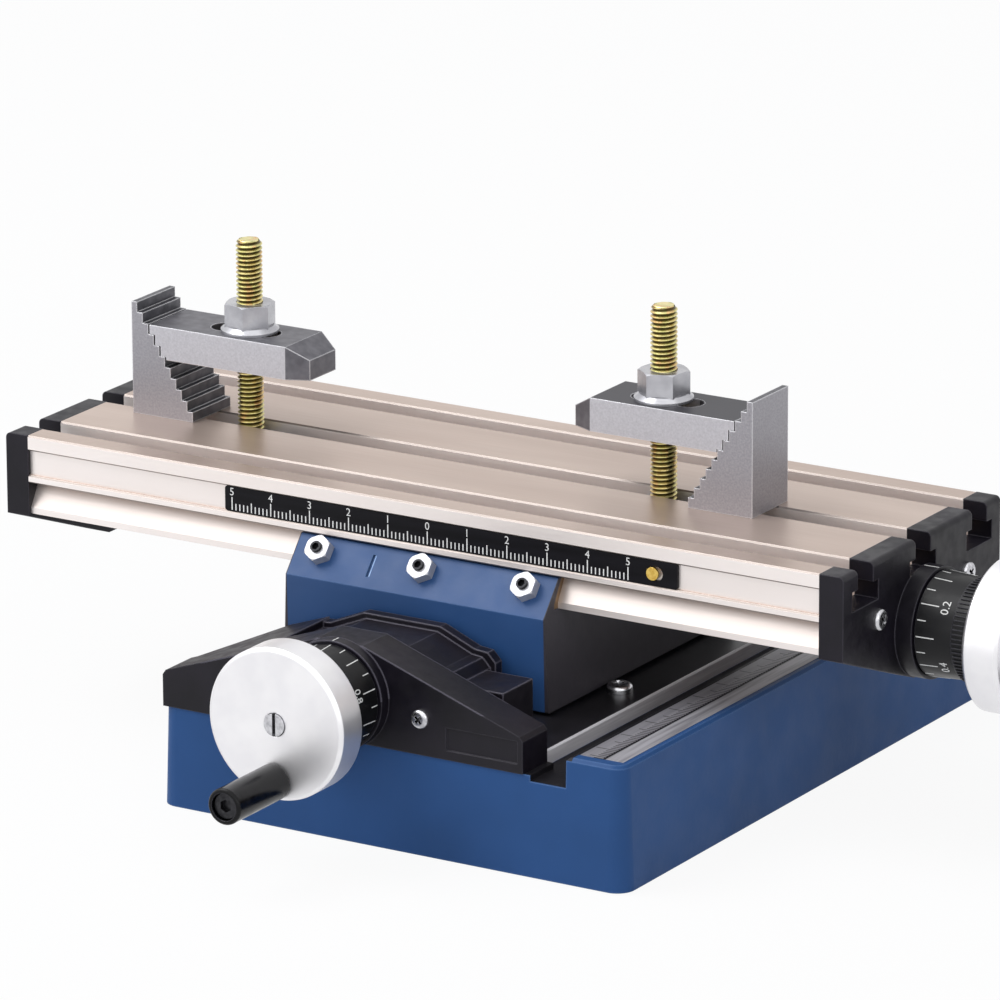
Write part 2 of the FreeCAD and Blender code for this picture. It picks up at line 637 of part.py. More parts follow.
def x_bush_right():
    start = vec(TABLE_X1 - 1.5, 0, X_AXIS_Z)
    return bush(BUSH_R, JOURNAL_R + RUN, CAP_T + CAP_BOSS + 1.5, 5.9, 1.5, start, vec(1, 0, 0))


def x_bush_left():
    start = vec(TABLE_X0 + 1.5, 0, X_AXIS_Z)
    return bush(BUSH_R, JOURNAL_R + RUN, CAP_T + 1.5 - 0.05, 5.9, 1.5, start, vec(-1, 0, 0))


def scale_bar():
    y = -TABLE_HALF_Y + GROOVE_DEEP - SLIDE
    z1 = TABLE_TOP_Z - TOP_LIP - SLIDE
    body = box(RULER_LEFT, RULER_RIGHT, y - RULER_T, y, z1 - GROOVE_H + 2 * SLIDE, z1)
    body = body.makeFillet(0.6, edges_along(body, vec(0, 1, 0), lambda p: True))
    mid = z1 - GROOVE_H / 2
    return cut(body, [cylinder(RULER_HOLE_R, 3, vec(RULER_RIGHT - RULER_SCREW_IN + RULER_HOLE_R - 0.9, y - 2, mid),
                               vec(0, 1, 0))])


def scale_screw():
    y = -TABLE_HALF_Y + GROOVE_DEEP - SLIDE
    mid = TABLE_TOP_Z - TOP_LIP - SLIDE - GROOVE_H / 2
    head = cylinder(1.45, 0.55, vec(RULER_RIGHT - RULER_SCREW_IN, y - RULER_T, mid), vec(0, -1, 0))
    shank = cylinder(0.85, RULER_T, vec(RULER_RIGHT - RULER_SCREW_IN, y - RULER_T, mid), vec(0, 1, 0))
    return fused([head, shank])


# Lead screws, handwheels and dials; each is built along +Z and then laid on its axis

def laid(shape, start, direction, turn=0.0):
    """Lay a shape built along +Z, with its +X up, on an axis through start."""
    if abs(direction.x) > 0.5:
        frame = FreeCAD.Rotation(vec(0, 0, -1), vec(0, 1, 0), vec(1, 0, 0), "ZXY")
    else:
        frame = FreeCAD.Rotation(vec(0, 0, -1), vec(1, 0, 0), vec(0, -1, 0), "ZXY")
    spin = FreeCAD.Rotation(vec(0, 0, 1), turn)
    out = shape.copy()
    out.Placement = FreeCAD.Placement(start, frame.multiply(spin))
    return out


def lead_screw(thread_len, front_len, rear_len):
    """Thread from 0 back to -thread_len, journal in front of 0."""
    z = vec(0, 0, 1)
    parts = [cylinder(SCREW_R, thread_len, vec(0, 0, -thread_len), z),
             cylinder(JOURNAL_R, front_len + 1, vec(0, 0, -1), z)]
    if rear_len:
        parts.append(cylinder(JOURNAL_R, rear_len + 1, vec(0, 0, -thread_len - rear_len), z))
    tail = -thread_len - rear_len
    body = fused(parts)
    body = body.makeChamfer(0.4, [e for e in body.Edges if abs(e.CenterOfMass.z - tail) < 0.01
                                  and len(e.Vertexes) == 1])
    return body.cut(cylinder(1.5, 9, vec(0, 0, front_len - 8.9), z))


def dial(z0):
    """Dial sleeve from z0: tapered graduated band, then the grip ring. Hollow over the hub."""
    z = vec(0, 0, 1)
    grad = DIAL_LEN - DIAL_RIB_LEN
    band = cone(DIAL_BACK_R, DIAL_R, grad, vec(0, 0, z0), z)
    ring = cylinder(DIAL_R + 0.25, DIAL_RIB_LEN, vec(0, 0, z0 + grad), z)
    ring = ring.makeChamfer(0.4, [e for e in ring.Edges if abs(e.CenterOfMass.z - z0 - DIAL_LEN) < 0.01
                                  and len(e.Vertexes) == 1])
    body = fused([band, ring])
    hollow = cylinder(DIAL_BACK_R - DIAL_WALL, DIAL_LEN - 5.0, vec(0, 0, z0 - 1), z)
    bore = cylinder(HUB_R + RUN, DIAL_LEN + 2, vec(0, 0, z0 - 1), z)
    return cut(body, [hollow, bore])


def handwheel(z0):
    """Wheel from z0: turned disc with a shallow dish; the hub reaches back into the dial."""
    z = vec(0, 0, 1)
    disc = cylinder(WHEEL_R, WHEEL_T, vec(0, 0, z0), z)
    rims = [e for e in disc.Edges if len(e.Vertexes) == 1]
    disc = disc.makeChamfer(0.7, rims)
    hub = cylinder(HUB_R, DIAL_LEN + 1, vec(0, 0, z0 - DIAL_LEN + 0.2), z)
    body = fused([disc, hub])
    tools = [cylinder(JOURNAL_R, DIAL_LEN + WHEEL_T - 1.2, vec(0, 0, z0 - DIAL_LEN - 0.5), z),
             cylinder(1.6, 40, vec(0, 0, z0 - 10), z),
             cylinder(2.6, 5, vec(0, 0, z0 + WHEEL_T - 1.3), z),
             cylinder(PIN_R, WHEEL_T, vec(CRANK_R, 0, z0 + 1.0), z)]
    back = cylinder(WHEEL_R - 3.2, 1.8, vec(0, 0, z0 - 0.1), z)
    back = back.cut(cylinder(HUB_R + 2.5, 3, vec(0, 0, z0 - 1), z))
    back = back.cut(cylinder(PIN_R + 1.8, 4, vec(CRANK_R, 0, z0 - 1), z))
    return cut(body, tools + [back])


def wheel_screw(z0):
    """Slotted cheese-head screw that holds the wheel on the journal."""
    z = vec(0, 0, 1)
    seat = z0 + WHEEL_T - 1.3
    head = cylinder(2.5, 1.7, vec(0, 0, seat), z)
    shank = cylinder(1.45, 8.0, vec(0, 0, seat - 8.0), z)
    slot = box(-3, 3, -0.4, 0.4, seat + 0.8, seat + 3)
    return fused([head, shank]).cut(slot)


def handle_pin(z0):
    z = vec(0, 0, 1)
    face = z0 + WHEEL_T
    pin = cylinder(PIN_R, WHEEL_T - 1.2 + GRIP_LEN - 1.2, vec(CRANK_R, 0, z0 + 1.2), z)
    head = cylinder(2.75, 1.6, vec(CRANK_R, 0, face + GRIP_LEN - 2.4), z)
    socket = hexagon(2.5, 1.6, vec(CRANK_R, 0, face + GRIP_LEN - 1.9), z)
    return fused([pin, head]).cut(socket)


def grip(z0):
    """Crank sleeve that turns on its pin, with a counterbore for the pin's head."""
    z = vec(0, 0, 1)
    face = z0 + WHEEL_T + LOOSE
    body = cylinder(GRIP_R, GRIP_LEN - LOOSE, vec(CRANK_R, 0, face), z)
    rims = [e for e in body.Edges if len(e.Vertexes) == 1]
    body = body.makeFillet(0.6, rims)
    tools = [cylinder(PIN_R + RUN, 40, vec(CRANK_R, 0, z0), z),
             cylinder(3.0, 5, vec(CRANK_R, 0, z0 + WHEEL_T + GRIP_LEN - 2.5), z)]
    return cut(body, tools)


X_DIR, Y_DIR = vec(1, 0, 0), vec(0, -1, 0)
X_START = vec(TABLE_X1 - 1.5 - 0.05, 0, X_AXIS_Z)
X_DIAL_Z = CAP_X1 + CAP_BOSS + 0.3 - X_START.x
X_WHEEL_Z = X_DIAL_Z + DIAL_LEN + 0.15
X_THREAD = TABLE_LEN - 3.1
Y_START = vec(0, COVER_FRONT + COVER_T - 1.0 + 0.05, Y_AXIS_Z)
Y_DIAL_Z = Y_START.y - (COVER_FRONT - COVER_BOSS - 0.3)
Y_WHEEL_Z = Y_DIAL_Z + DIAL_LEN + 0.15
Y_THREAD = 112.0


def axis_group(prefix, start, direction, dial_z, wheel_z, thread, rear):
    """The turning pieces of one lead screw, by node name."""
    return {
        prefix + "_lead_screw": laid(lead_screw(thread, wheel_z + WHEEL_T - 2.0, rear), start, direction),
        prefix + "_dial": laid(dial(dial_z), start, direction),
        prefix + "_handwheel": laid(handwheel(wheel_z), start, direction),
        prefix + "_wheel_screw": laid(wheel_screw(wheel_z), start, direction),
        prefix + "_handle_pin": laid(handle_pin(wheel_z), start, direction),
        prefix + "_grip": laid(grip(wheel_z), start, direction),
    }


# Clamps

def strap_z():
    return TABLE_TOP_Z + STRAP_LOW


def stud(x):
    foot = SLOT_FLOOR_Z + 0.3
    body = cylinder(STUD_R, TABLE_TOP_Z + STUD_TOP - foot, vec(x, 0, foot), vec(0, 0, 1))
    ends = [e for e in body.Edges if len(e.Vertexes) == 1]
    return body.makeChamfer(0.5, ends)


def t_nut(x):
    shoulder = TABLE_TOP_Z - SLOT_LIP - SLIDE
    body = box(x - 6.5, x + 6.5, -SLOT_UNDER_W / 2 + 0.2, SLOT_UNDER_W / 2 - 0.2,
               SLOT_FLOOR_Z + SLIDE, shoulder)
    neck = box(x - 6.5, x + 6.5, -SLOT_W / 2 + 0.1, SLOT_W / 2 - 0.1, shoulder - 0.5, shoulder + NUT_NECK)
    return fused([body, neck]).cut(cylinder(STUD_R, 30, vec(x, 0, 45), vec(0, 0, 1)))


def step_block(x, side):
    """Side +1 has its upright back towards +X."""
    run, rise = BLOCK_L / STEPS, BLOCK_H / STEPS
    back = x + side * BLOCK_BACK
    z0 = TABLE_TOP_Z + SLIDE
    outline = [(back, z0), (back, z0 + BLOCK_H)]
    for i in range(STEPS):
        level = z0 + BLOCK_H - i * rise
        outline.append((back - side * (i + 1) * run, level))
        outline.append((back - side * (i + 1) * run, level - rise))
    body = prism_y(outline, -BLOCK_W / 2, BLOCK_W / 2)
    return body


def strap(x, side):
    """Clamp strap: toothed heel on the step block, bevelled nose, long hole for the stud."""
    z0, z1 = strap_z(), strap_z() + STRAP_T
    run, rise = BLOCK_L / STEPS, BLOCK_H / STEPS
    back = x + side * BLOCK_BACK
    steps_z0 = TABLE_TOP_Z + SLIDE
    tip = x - side * STRAP_NOSE
    outline = [(tip, z0), (tip, z0 + NOSE_FACE), (tip + side * NOSE_BEVEL, z1)]
    play = 0.03
    for i in range(STEPS):
        upper = steps_z0 + BLOCK_H - i * rise + play
        if upper > z0 and upper - rise < z1:
            edge = back - side * ((i + 1) * run + TOOTH_PLAY)
            outline.append((edge, min(upper, z1)))
            outline.append((edge, max(upper - rise, z0)))
    body = prism_y(outline, -STRAP_W / 2, STRAP_W / 2)
    tools = []
    for s in (-1, 1):
        w = s * STRAP_W / 2
        tools.append(prism([vec(tip, w - s * NOSE_CORNER, z0 - 1), vec(tip + side * NOSE_BEVEL, w, z0 - 1),
                            vec(tip + side * NOSE_BEVEL, w + s, z0 - 1), vec(tip - side, w + s, z0 - 1),
                            vec(tip - side, w - s * NOSE_CORNER, z0 - 1)], vec(0, 0, STRAP_T + 2)))
    slot = fused([box(x - 5.2, x + 5.2, -3.4, 3.4, z0 - 1, z1 + 1),
                  cylinder(3.4, STRAP_T + 2, vec(x - 5.2, 0, z0 - 1), vec(0, 0, 1)),
                  cylinder(3.4, STRAP_T + 2, vec(x + 5.2, 0, z0 - 1), vec(0, 0, 1))])
    slot.translate(vec(side * 1.0, 0, 0))
    return cut(body, tools + [slot])


def flange_nut(x, turn):
    z = strap_z() + STRAP_T + SLIDE
    up = vec(0, 0, 1)
    flange = cone(FLANGE_R, 5.4, 0.9, vec(x, 0, z + 0.6), up).fuse(cylinder(FLANGE_R, 0.6, vec(x, 0, z), up))
    body = hexagon(10.0, 6.6, vec(x, 0, z), up, turn)
    body = body.common(cone(5.0 + 6.6 * 1.7, 5.15, 6.6, vec(x, 0, z), up))
    return fused([flange, body]).cut(cylinder(STUD_R + RUN, 20, vec(x, 0, z - 5), up))


def clamp_group(prefix, x, side):
    return {
        prefix + "_stud": stud(x),
        prefix + "_t_nut": t_nut(x),
        prefix + "_step_block": step_block(x, side),
        prefix + "_strap": strap(x, side),
        prefix + "_flange_nut": flange_nut(x, NUT_TURN[side]),
    }


def build():
    nodes = {}
    for maker in (base_casting, rim_scale, way_plate, way_plate_screws, front_cover,
                  front_cover_screws, y_bush, saddle_casting, x_gib, x_gib_screws, x_gib_nuts,
                  y_gib, y_gib_screws, y_gib_nuts, x_nut, y_nut, table_top, left_end_cap,
                  right_end_cap, end_cap_screws, x_bush_left, x_bush_right, scale_bar, scale_screw):
        nodes[maker.__name__] = maker()
    nodes.update(axis_group("x", X_START, X_DIR, X_DIAL_Z, X_WHEEL_Z, X_THREAD, CAP_T + 1.4))
    nodes.update(axis_group("y", Y_START, Y_DIR, Y_DIAL_Z, Y_WHEEL_Z, Y_THREAD, 0))
    nodes.update(clamp_group("left", LEFT_STUD_X, -1))
    nodes.update(clamp_group("right", RIGHT_STUD_X, 1))
    return nodes


for name, shape in build().items():
    shape.exportStep("parts/" + name + ".step")
    box_ = shape.BoundBox
    print("%-20s solids %d valid %s  X %.1f..%.1f  Y %.1f..%.1f  Z %.1f..%.1f" % (
        name, len(shape.Solids), shape.isValid(), box_.XMin, box_.XMax, box_.YMin, box_.YMax,
        box_.ZMin, box_.ZMax))
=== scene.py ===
import math

import bpy
from mathutils import Matrix, Vector


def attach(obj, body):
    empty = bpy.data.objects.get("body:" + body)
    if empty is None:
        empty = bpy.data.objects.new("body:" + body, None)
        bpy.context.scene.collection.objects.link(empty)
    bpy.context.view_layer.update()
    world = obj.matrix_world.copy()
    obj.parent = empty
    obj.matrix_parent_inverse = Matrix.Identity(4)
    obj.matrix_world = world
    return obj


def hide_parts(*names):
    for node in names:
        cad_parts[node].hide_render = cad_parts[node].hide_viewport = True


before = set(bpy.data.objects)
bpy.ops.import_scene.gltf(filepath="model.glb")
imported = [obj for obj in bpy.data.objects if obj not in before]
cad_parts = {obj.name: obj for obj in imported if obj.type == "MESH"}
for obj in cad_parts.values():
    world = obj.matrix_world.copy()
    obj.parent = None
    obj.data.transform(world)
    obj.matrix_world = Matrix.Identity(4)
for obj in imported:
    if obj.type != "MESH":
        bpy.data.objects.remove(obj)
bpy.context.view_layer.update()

MM = 0.001
bpy.ops.object.select_all(action="DESELECT")


# The view: a long lens from the right and a little above, so that the edges along the table stay
# nearly parallel. Turned and placed by the table's corners, the studs' tops and the ruler's ticks.
VIEW_AZIMUTH = 31.43
VIEW_HEIGHT = 17.07
VIEW_ROLL = 0.22
VIEW_FOCAL_PX = 8326.0
VIEW_CENTRE_PX = (520.0, 529.6)
VIEW_DISTANCE = 1870.0
VIEW_AIM = (-25.9, 46.2, 34.3)
PICTURE_PX = 1000.0


def set_camera():
    """Stand the camera off from its aim, with the picture's centre shifted as in the photo."""
    turn, tilt = math.radians(VIEW_AZIMUTH), math.radians(VIEW_HEIGHT)
    ahead = Vector((-math.sin(turn) * math.cos(tilt), math.cos(turn) * math.cos(tilt), -math.sin(tilt)))
    right = Vector((math.cos(turn), math.sin(turn), 0.0))
    up = right.cross(ahead)
    roll = Matrix.Rotation(math.radians(VIEW_ROLL), 3, ahead)
    right, up = roll @ right, roll @ up
    bpy.ops.object.camera_add(location=Vector(VIEW_AIM) * MM - ahead * VIEW_DISTANCE * MM)
    camera = bpy.context.object
    place = camera.location.copy()
    camera.matrix_world = Matrix.Translation(place) @ Matrix((right, up, -ahead)).transposed().to_4x4()
    camera.data.lens = VIEW_FOCAL_PX / PICTURE_PX * camera.data.sensor_width
    camera.data.shift_x = 0.5 - VIEW_CENTRE_PX[0] / PICTURE_PX
    camera.data.shift_y = VIEW_CENTRE_PX[1] / PICTURE_PX - 0.5
    camera.data.clip_start, camera.data.clip_end = 0.05, 20.0
    bpy.context.scene.camera = camera


set_camera()
bpy.context.scene.view_settings.view_transform = "Standard"


# The studio: a white table that runs out of sight, a large soft box over the left shoulder, a
# weaker one at the right, a broad even light from above the front, and a pale room. The floor is
# lifted to white for the eye alone, and keeps a faint shadow.
FLOOR_WHITE, FLOOR_SHARE, PAPER_TONE = "#FFFFFF", 0.92, "#E6E7EA"
ROOM_TONE, ROOM_LIGHT = "#F4F6FA", 0.28
LAMP_AIM = (0.0, 0.0, 50.0)
LAMPS = (       # name, kind, place in mm, disc in m or angle in radians, power
    ("soft_box_left", "AREA", (-600, -400, 1000), 0.8, 7.0),
    ("soft_box_right", "AREA", (900, -420, 420), 0.55, 1.0),
    ("soft_sky", "SUN", (-120, -700, 760), 2.3, 1.75),
)


def linear(code):
    """An sRGB hex colour as the linear one that a shader takes."""
    parts = [int(code[i:i + 2], 16) / 255.0 for i in (1, 3, 5)]
    return tuple(c / 12.92 if c <= 0.04045 else ((c + 0.055) / 1.055) ** 2.4 for c in parts) + (1.0,)


def put(tree, kind, props=None, feeds=None):
    """Add one node with its properties, and feed its inputs plain values or other nodes' outputs."""
    made = tree.nodes.new(kind)
    for key, value in (props or {}).items():
        setattr(made, key, value)
    for key, feed in (feeds or {}).items():
        if isinstance(feed, bpy.types.NodeSocket):
            tree.links.new(feed, made.inputs[key])
        else:
            made.inputs[key].default_value = feed
    return made


def white_to_the_eye(tree, lit, output, share):
    """Mix a plain white into what the eye and mirrors see of a lit surface or the room."""
    rays = put(tree, "ShaderNodeLightPath").outputs
    seen = rays["Is Camera Ray"]
    for ray in ("Is Glossy Ray", "Is Transmission Ray"):
        seen = put(tree, "ShaderNodeMath", {"operation": "MAXIMUM"}, {0: seen, 1: rays[ray]}).outputs[0]
    part = put(tree, "ShaderNodeMath", {"operation": "MULTIPLY"}, {0: seen, 1: share})
    white = put(tree, "ShaderNodeEmission" if output.bl_idname == "ShaderNodeOutputMaterial"
                else "ShaderNodeBackground", feeds={"Color": linear(FLOOR_WHITE), "Strength": 1.0})
    mixed = put(tree, "ShaderNodeMixShader", feeds={0: part.outputs[0], 1: lit, 2: white.outputs[0]})
    tree.links.new(mixed.outputs[0], output.inputs["Surface"])


def set_studio():
    """Light the object and lay the white floor under it."""
    world = bpy.data.worlds.new("pale_room")
    bpy.context.scene.world = world
    world.use_nodes = True
    room = world.node_tree.nodes["Background"]
    room.inputs["Color"].default_value = linear(ROOM_TONE)
    room.inputs["Strength"].default_value = ROOM_LIGHT
    white_to_the_eye(world.node_tree, room.outputs[0], world.node_tree.nodes["World Output"], 1.0)
    for name, kind, at, size, power in LAMPS:
        bpy.ops.object.light_add(type=kind, location=Vector(at) * MM)
        lamp = bpy.context.object
        lamp.name = name
        lamp.data.energy = power
        if kind == "AREA":
            lamp.data.shape = "DISK"
            lamp.data.size = size
        else:
            lamp.data.angle = size
        aim = Vector(LAMP_AIM) * MM - lamp.location
        lamp.rotation_euler = aim.to_track_quat("-Z", "Y").to_euler()
    bpy.ops.mesh.primitive_plane_add(size=12.0, location=(0.0, 0.0, -0.0002))
    floor = bpy.context.object
    floor.name = "floor"
    paper = bpy.data.materials.new("white_paper")
    paper.use_nodes = True
    shader = paper.node_tree.nodes["Principled BSDF"]
    shader.inputs["Base Color"].default_value = linear(PAPER_TONE)
    shader.inputs["Roughness"].default_value = 0.9
    output = paper.node_tree.nodes["Material Output"]
    white_to_the_eye(paper.node_tree, shader.outputs[0], output, FLOOR_SHARE)
    floor.data.materials.append(paper)


set_studio()


# The base: an iron casting with a raised rim along its right side, filled, sprayed blue and baked.
# The paint gives a satin face with a fine orange peel, and a painted highlight along its edges.
PAINT_BLUE, PAINT_DEEP, PAINT_EDGE_HIGHLIGHT, BOX_BLACK = "#2C5186", "#264776", "#7396C8", "#1C1B20"
PAINT_PEEL = 1.4        # mm across one bump of the peel


def finish_for(name, **sockets):
    """A new material with its shader's own values set, and its object coordinates ready."""
    made = bpy.data.materials.new(name)
    made.use_nodes = True
    shader = made.node_tree.nodes["Principled BSDF"]
    for key, value in sockets.items():
        shader.inputs[key.replace("_", " ")].default_value = value
    where = put(made.node_tree, "ShaderNodeTexCoord").outputs["Object"]
    return made, made.node_tree, shader, where


def grain(tree, where, size, stretch=(1.0, 1.0, 1.0), detail=2.0):
    """A soft random pattern whose patches are size mm across, longer where stretch is below 1."""
    run = put(tree, "ShaderNodeMapping", feeds={"Vector": where, "Scale": stretch})
    noise = put(tree, "ShaderNodeTexNoise",
                feeds={"Vector": run.outputs[0], "Scale": 1.0 / (size * MM), "Detail": detail})
    return noise.outputs["Fac"]


def tinted(tree, shader, fac, low, high, span=(0.35, 0.65), socket="Base Color"):
    """Set a shader's socket between two tones, or two plain values, by a pattern."""
    ramp = put(tree, "ShaderNodeValToRGB", feeds={"Fac": fac})
    for stop, at, tone in zip(ramp.color_ramp.elements, span, (low, high)):
        stop.position = at
        stop.color = linear(tone) if isinstance(tone, str) else (tone, tone, tone, 1.0)
    tree.links.new(ramp.outputs[0], shader.inputs[socket])
    return ramp.outputs[0]


def surface(tree, shader, height, depth, edge):
    """Bumps depth mm high over corners that are eased by edge mm, for the eye only."""
    eased = put(tree, "ShaderNodeBevel", {"samples": 4}, {"Radius": edge * MM})
    bump = put(tree, "ShaderNodeBump", feeds={"Strength": 1.0, "Distance": depth * MM,
                                              "Height": height, "Normal": eased.outputs[0]})
    tree.links.new(bump.outputs[0], shader.inputs["Normal"])


def dress(material, *names):
    """Give CAD nodes their finish."""
    for name in names:
        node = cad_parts[name]
        if not node.material_slots:
            node.data.materials.append(material)
        for held in node.material_slots:
            held.material = material


def corners(tree, width, strength):
    """A mask of a piece's own corners, width mm to each side, where a painted edge highlight or edge tone
    goes.
    """
    eased = put(tree, "ShaderNodeBevel", {"samples": 4}, {"Radius": width * MM})
    plain = put(tree, "ShaderNodeNewGeometry")
    match = put(tree, "ShaderNodeVectorMath", {"operation": "DOT_PRODUCT"},
                {0: eased.outputs[0], 1: plain.outputs["Normal"]})
    mask = put(tree, "ShaderNodeMapRange", feeds={"Value": match.outputs["Value"], "From Min": 0.995,
                                                  "From Max": 0.9, "To Min": 0.0, "To Max": strength})
    return mask.outputs[0]


def laid_over(tree, shader, tone, mask, colour):
    """Lay a colour or a second tone over the first where the mask says, and feed it to the shader."""
    over = linear(colour) if isinstance(colour, str) else colour
    mix = put(tree, "ShaderNodeMix", {"data_type": "RGBA"}, {0: mask, 6: tone, 7: over})
    tree.links.new(mix.outputs[2], shader.inputs["Base Color"])
    return mix.outputs[2]


def within(tree, where, low, high):
    """A mask that is 1 inside a box given in mm, open on the sides given as None."""
    mask = 1.0
    place = put(tree, "ShaderNodeSeparateXYZ", feeds={0: where}).outputs
    for coordinate, floor, ceiling in zip(place, low, high):
        for bound, test in ((floor, "GREATER_THAN"), (ceiling, "LESS_THAN")):
            if bound is not None:
                side = put(tree, "ShaderNodeMath", {"operation": test}, {0: coordinate, 1: bound * MM})
                mask = put(tree, "ShaderNodeMath", {"operation": "MULTIPLY"},
                           {0: mask, 1: side.outputs[0]}).outputs[0]
    return mask


def blue_paint(name, dark_boxes, dark_tone=BOX_BLACK, gloss=0.12):
    """Blue enamel, but near black in the given boxes."""
    made, tree, shader, where = finish_for(name, Roughness=0.46, Specular_IOR_Level=gloss,
                                           Coat_Weight=0.03, Coat_Roughness=0.3, IOR=1.5)
    tone = tinted(tree, shader, grain(tree, where, 38.0, detail=3.0), PAINT_DEEP, PAINT_BLUE, (0.3, 0.7))
    # A paler blue along the edges: painted highlight.
    tone = laid_over(tree, shader, tone, corners(tree, 0.5, 0.45), PAINT_EDGE_HIGHLIGHT)
    for low, high in dark_boxes:
        tone = laid_over(tree, shader, tone, within(tree, where, low, high), dark_tone)
    tinted(tree, shader, grain(tree, where, 6.0), 0.43, 0.52, socket="Roughness")
    surface(tree, shader, grain(tree, where, PAINT_PEEL), 0.03, 0.5)
    return made


CHANNEL = ((44.6, -68.95, 20.0), (56.9, 87.0, 28.5))    # between the way plate and the rule
RULE_SEAT = ((56.8, -66.0, 26.9), (63.4, 85.0, 28.5))   # under and between the two strips
dress(blue_paint("baked_blue_enamel_base", [CHANNEL, RULE_SEAT]), "base_casting")


# The rule let into the base's rim: a grey anodised strip with black millimetre lines, longer at
# each five and ten, and outside it a plain strip of the same grey held by its own adhesive.
RIM_GREY, RIM_GREY_WORN, STRIP_GREY, RIM_LINE = "#85848B", "#96959C", "#B2B1B8", "#222126"
RIM_RULE_RIGHT, RIM_LINE_WIDE = 62.55, 0.32
RIM_LINES = ((1.0, 2.1), (5.0, 3.5), (10.0, 5.0))       # every so many mm, a line so long
BAND_LEFT, BAND_FRONT, BAND_FOOT = 63.3, -65.9, 27.7
BAND_RIGHT, BAND_REAR, BAND_TOP = 67.6, 84.9, 27.82


def ruled(tree, where, along, across, edge, sign, width, marks):
    """A mask of ruled lines: marks are (every, length) in mm, drawn from an edge, by sign up or down."""
    place = put(tree, "ShaderNodeSeparateXYZ", feeds={0: where}).outputs
    run = put(tree, "ShaderNodeMath", {"operation": "MULTIPLY"}, {0: place[along], 1: 1.0 / MM})
    deep = put(tree, "ShaderNodeMath", {"operation": "MULTIPLY_ADD"},
               {0: place[across], 1: sign / MM, 2: -sign * edge})
    mask = 0.0
    for every, length in marks:
        near = put(tree, "ShaderNodeMath", {"operation": "PINGPONG"}, {0: run.outputs[0], 1: every / 2.0})
        line = put(tree, "ShaderNodeMath", {"operation": "LESS_THAN"}, {0: near.outputs[0], 1: width / 2.0})
        reach = put(tree, "ShaderNodeMath", {"operation": "LESS_THAN"}, {0: deep.outputs[0], 1: length})
        drawn = put(tree, "ShaderNodeMath", {"operation": "MULTIPLY"},
                    {0: line.outputs[0], 1: reach.outputs[0]})
        mask = put(tree, "ShaderNodeMath", {"operation": "MAXIMUM"},
                   {0: mask, 1: drawn.outputs[0]}).outputs[0]
    return mask


def rule_grey(name, low, high, with_lines):
    """Anodised grey between two tones, drawn along the rim, with or without the rule's lines."""
    made, tree, shader, where = finish_for(name, Metallic=0.3, Roughness=0.48)
    tone = tinted(tree, shader, grain(tree, where, 1.2, (1.0, 0.05, 1.0)), low, high)
    if with_lines:
        lines = ruled(tree, where, 1, 0, RIM_RULE_RIGHT, -1.0, RIM_LINE_WIDE, RIM_LINES)
        laid_over(tree, shader, tone, lines, RIM_LINE)
    surface(tree, shader, grain(tree, where, 0.4, (1.0, 0.04, 1.0)), 0.004, 0.1)
    return made


def edge_strip(name, low, high, soften):
    """A thin bar between two corners, with its edges eased."""
    size = [b - a for a, b in zip(low, high)]
    middle = [(a + b) / 2.0 * MM for a, b in zip(low, high)]
    bpy.ops.mesh.primitive_cube_add(size=1.0, location=middle)
    bar = bpy.context.object
    bar.name = name
    bar.scale = [s * MM for s in size]
    bpy.ops.object.transform_apply(location=True, rotation=True, scale=True)
    bpy.ops.object.mode_set(mode="EDIT")
    bpy.ops.mesh.select_all(action="SELECT")
    bpy.ops.mesh.bevel(offset=soften * MM, segments=2, affect="EDGES")
    bpy.ops.object.mode_set(mode="OBJECT")
    return bar


def wear(piece, material, body):
    """Give a new piece its finish and the body that it rides on."""
    piece.data.materials.clear()
    piece.data.materials.append(material)
    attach(piece, body)
    piece.select_set(False)
    return piece


dress(rule_grey("grey_anodised_rule", RIM_GREY, RIM_GREY_WORN, True), "rim_scale")
rim_band = edge_strip("rim_band", (BAND_LEFT, BAND_FRONT, BAND_FOOT), (BAND_RIGHT, BAND_REAR, BAND_TOP), 0.05)
wear(rim_band, rule_grey("grey_strip", STRIP_GREY, RIM_GREY, False), "base")


# The way plate: ground steel, blacked on its top, with the sides and the dovetail's flanks left
# bright from the grinding wheel, whose marks run along the travel.
PLATE_BLACK, PLATE_WORN, GROUND_SHEEN_BRIGHT, GROUND_SHEEN_DULL = "#19181D", "#29282E", "#EDECF1", "#DAD9DF"


def faces_along(tree, axis, at_least, way=0.0):
    """A mask of the faces that look along an axis: way 1 or -1 for one sense, 0 for both."""
    normal = put(tree, "ShaderNodeTexCoord").outputs["Normal"]
    facing = put(tree, "ShaderNodeSeparateXYZ", feeds={0: normal}).outputs[axis]
    size = put(tree, "ShaderNodeMath", {"operation": "MULTIPLY" if way else "ABSOLUTE"}, {0: facing, 1: way})
    mask = put(tree, "ShaderNodeMath", {"operation": "GREATER_THAN"}, {0: size.outputs[0], 1: at_least})
    return mask.outputs[0]


def blacked_plate():
    """Steel that is blacked but for its sides, which are ground bright and given a near-white tone without
    metal, partly a painted reflection.
    """
    made, tree, shader, where = finish_for("blacked_ground_steel", Metallic=0.4, Roughness=0.36)
    lines = grain(tree, where, 0.5, (1.0, 0.03, 1.0))
    dark = tinted(tree, shader, grain(tree, where, 9.0, (1.0, 0.5, 1.0)), PLATE_BLACK, PLATE_WORN)
    # The sides' near-white diffuse tone is the ground steel's brightness and in part a painted reflection.
    ground = tinted(tree, shader, lines, GROUND_SHEEN_DULL, GROUND_SHEEN_BRIGHT)
    sides = faces_along(tree, 0, 0.45)
    laid_over(tree, shader, dark, sides, ground)
    metal = put(tree, "ShaderNodeMapRange", feeds={"Value": sides, "To Min": 0.4, "To Max": 0.0})
    tree.links.new(metal.outputs[0], shader.inputs["Metallic"])
    surface(tree, shader, lines, 0.006, 0.15)
    return made


dress(blacked_plate(), "way_plate")
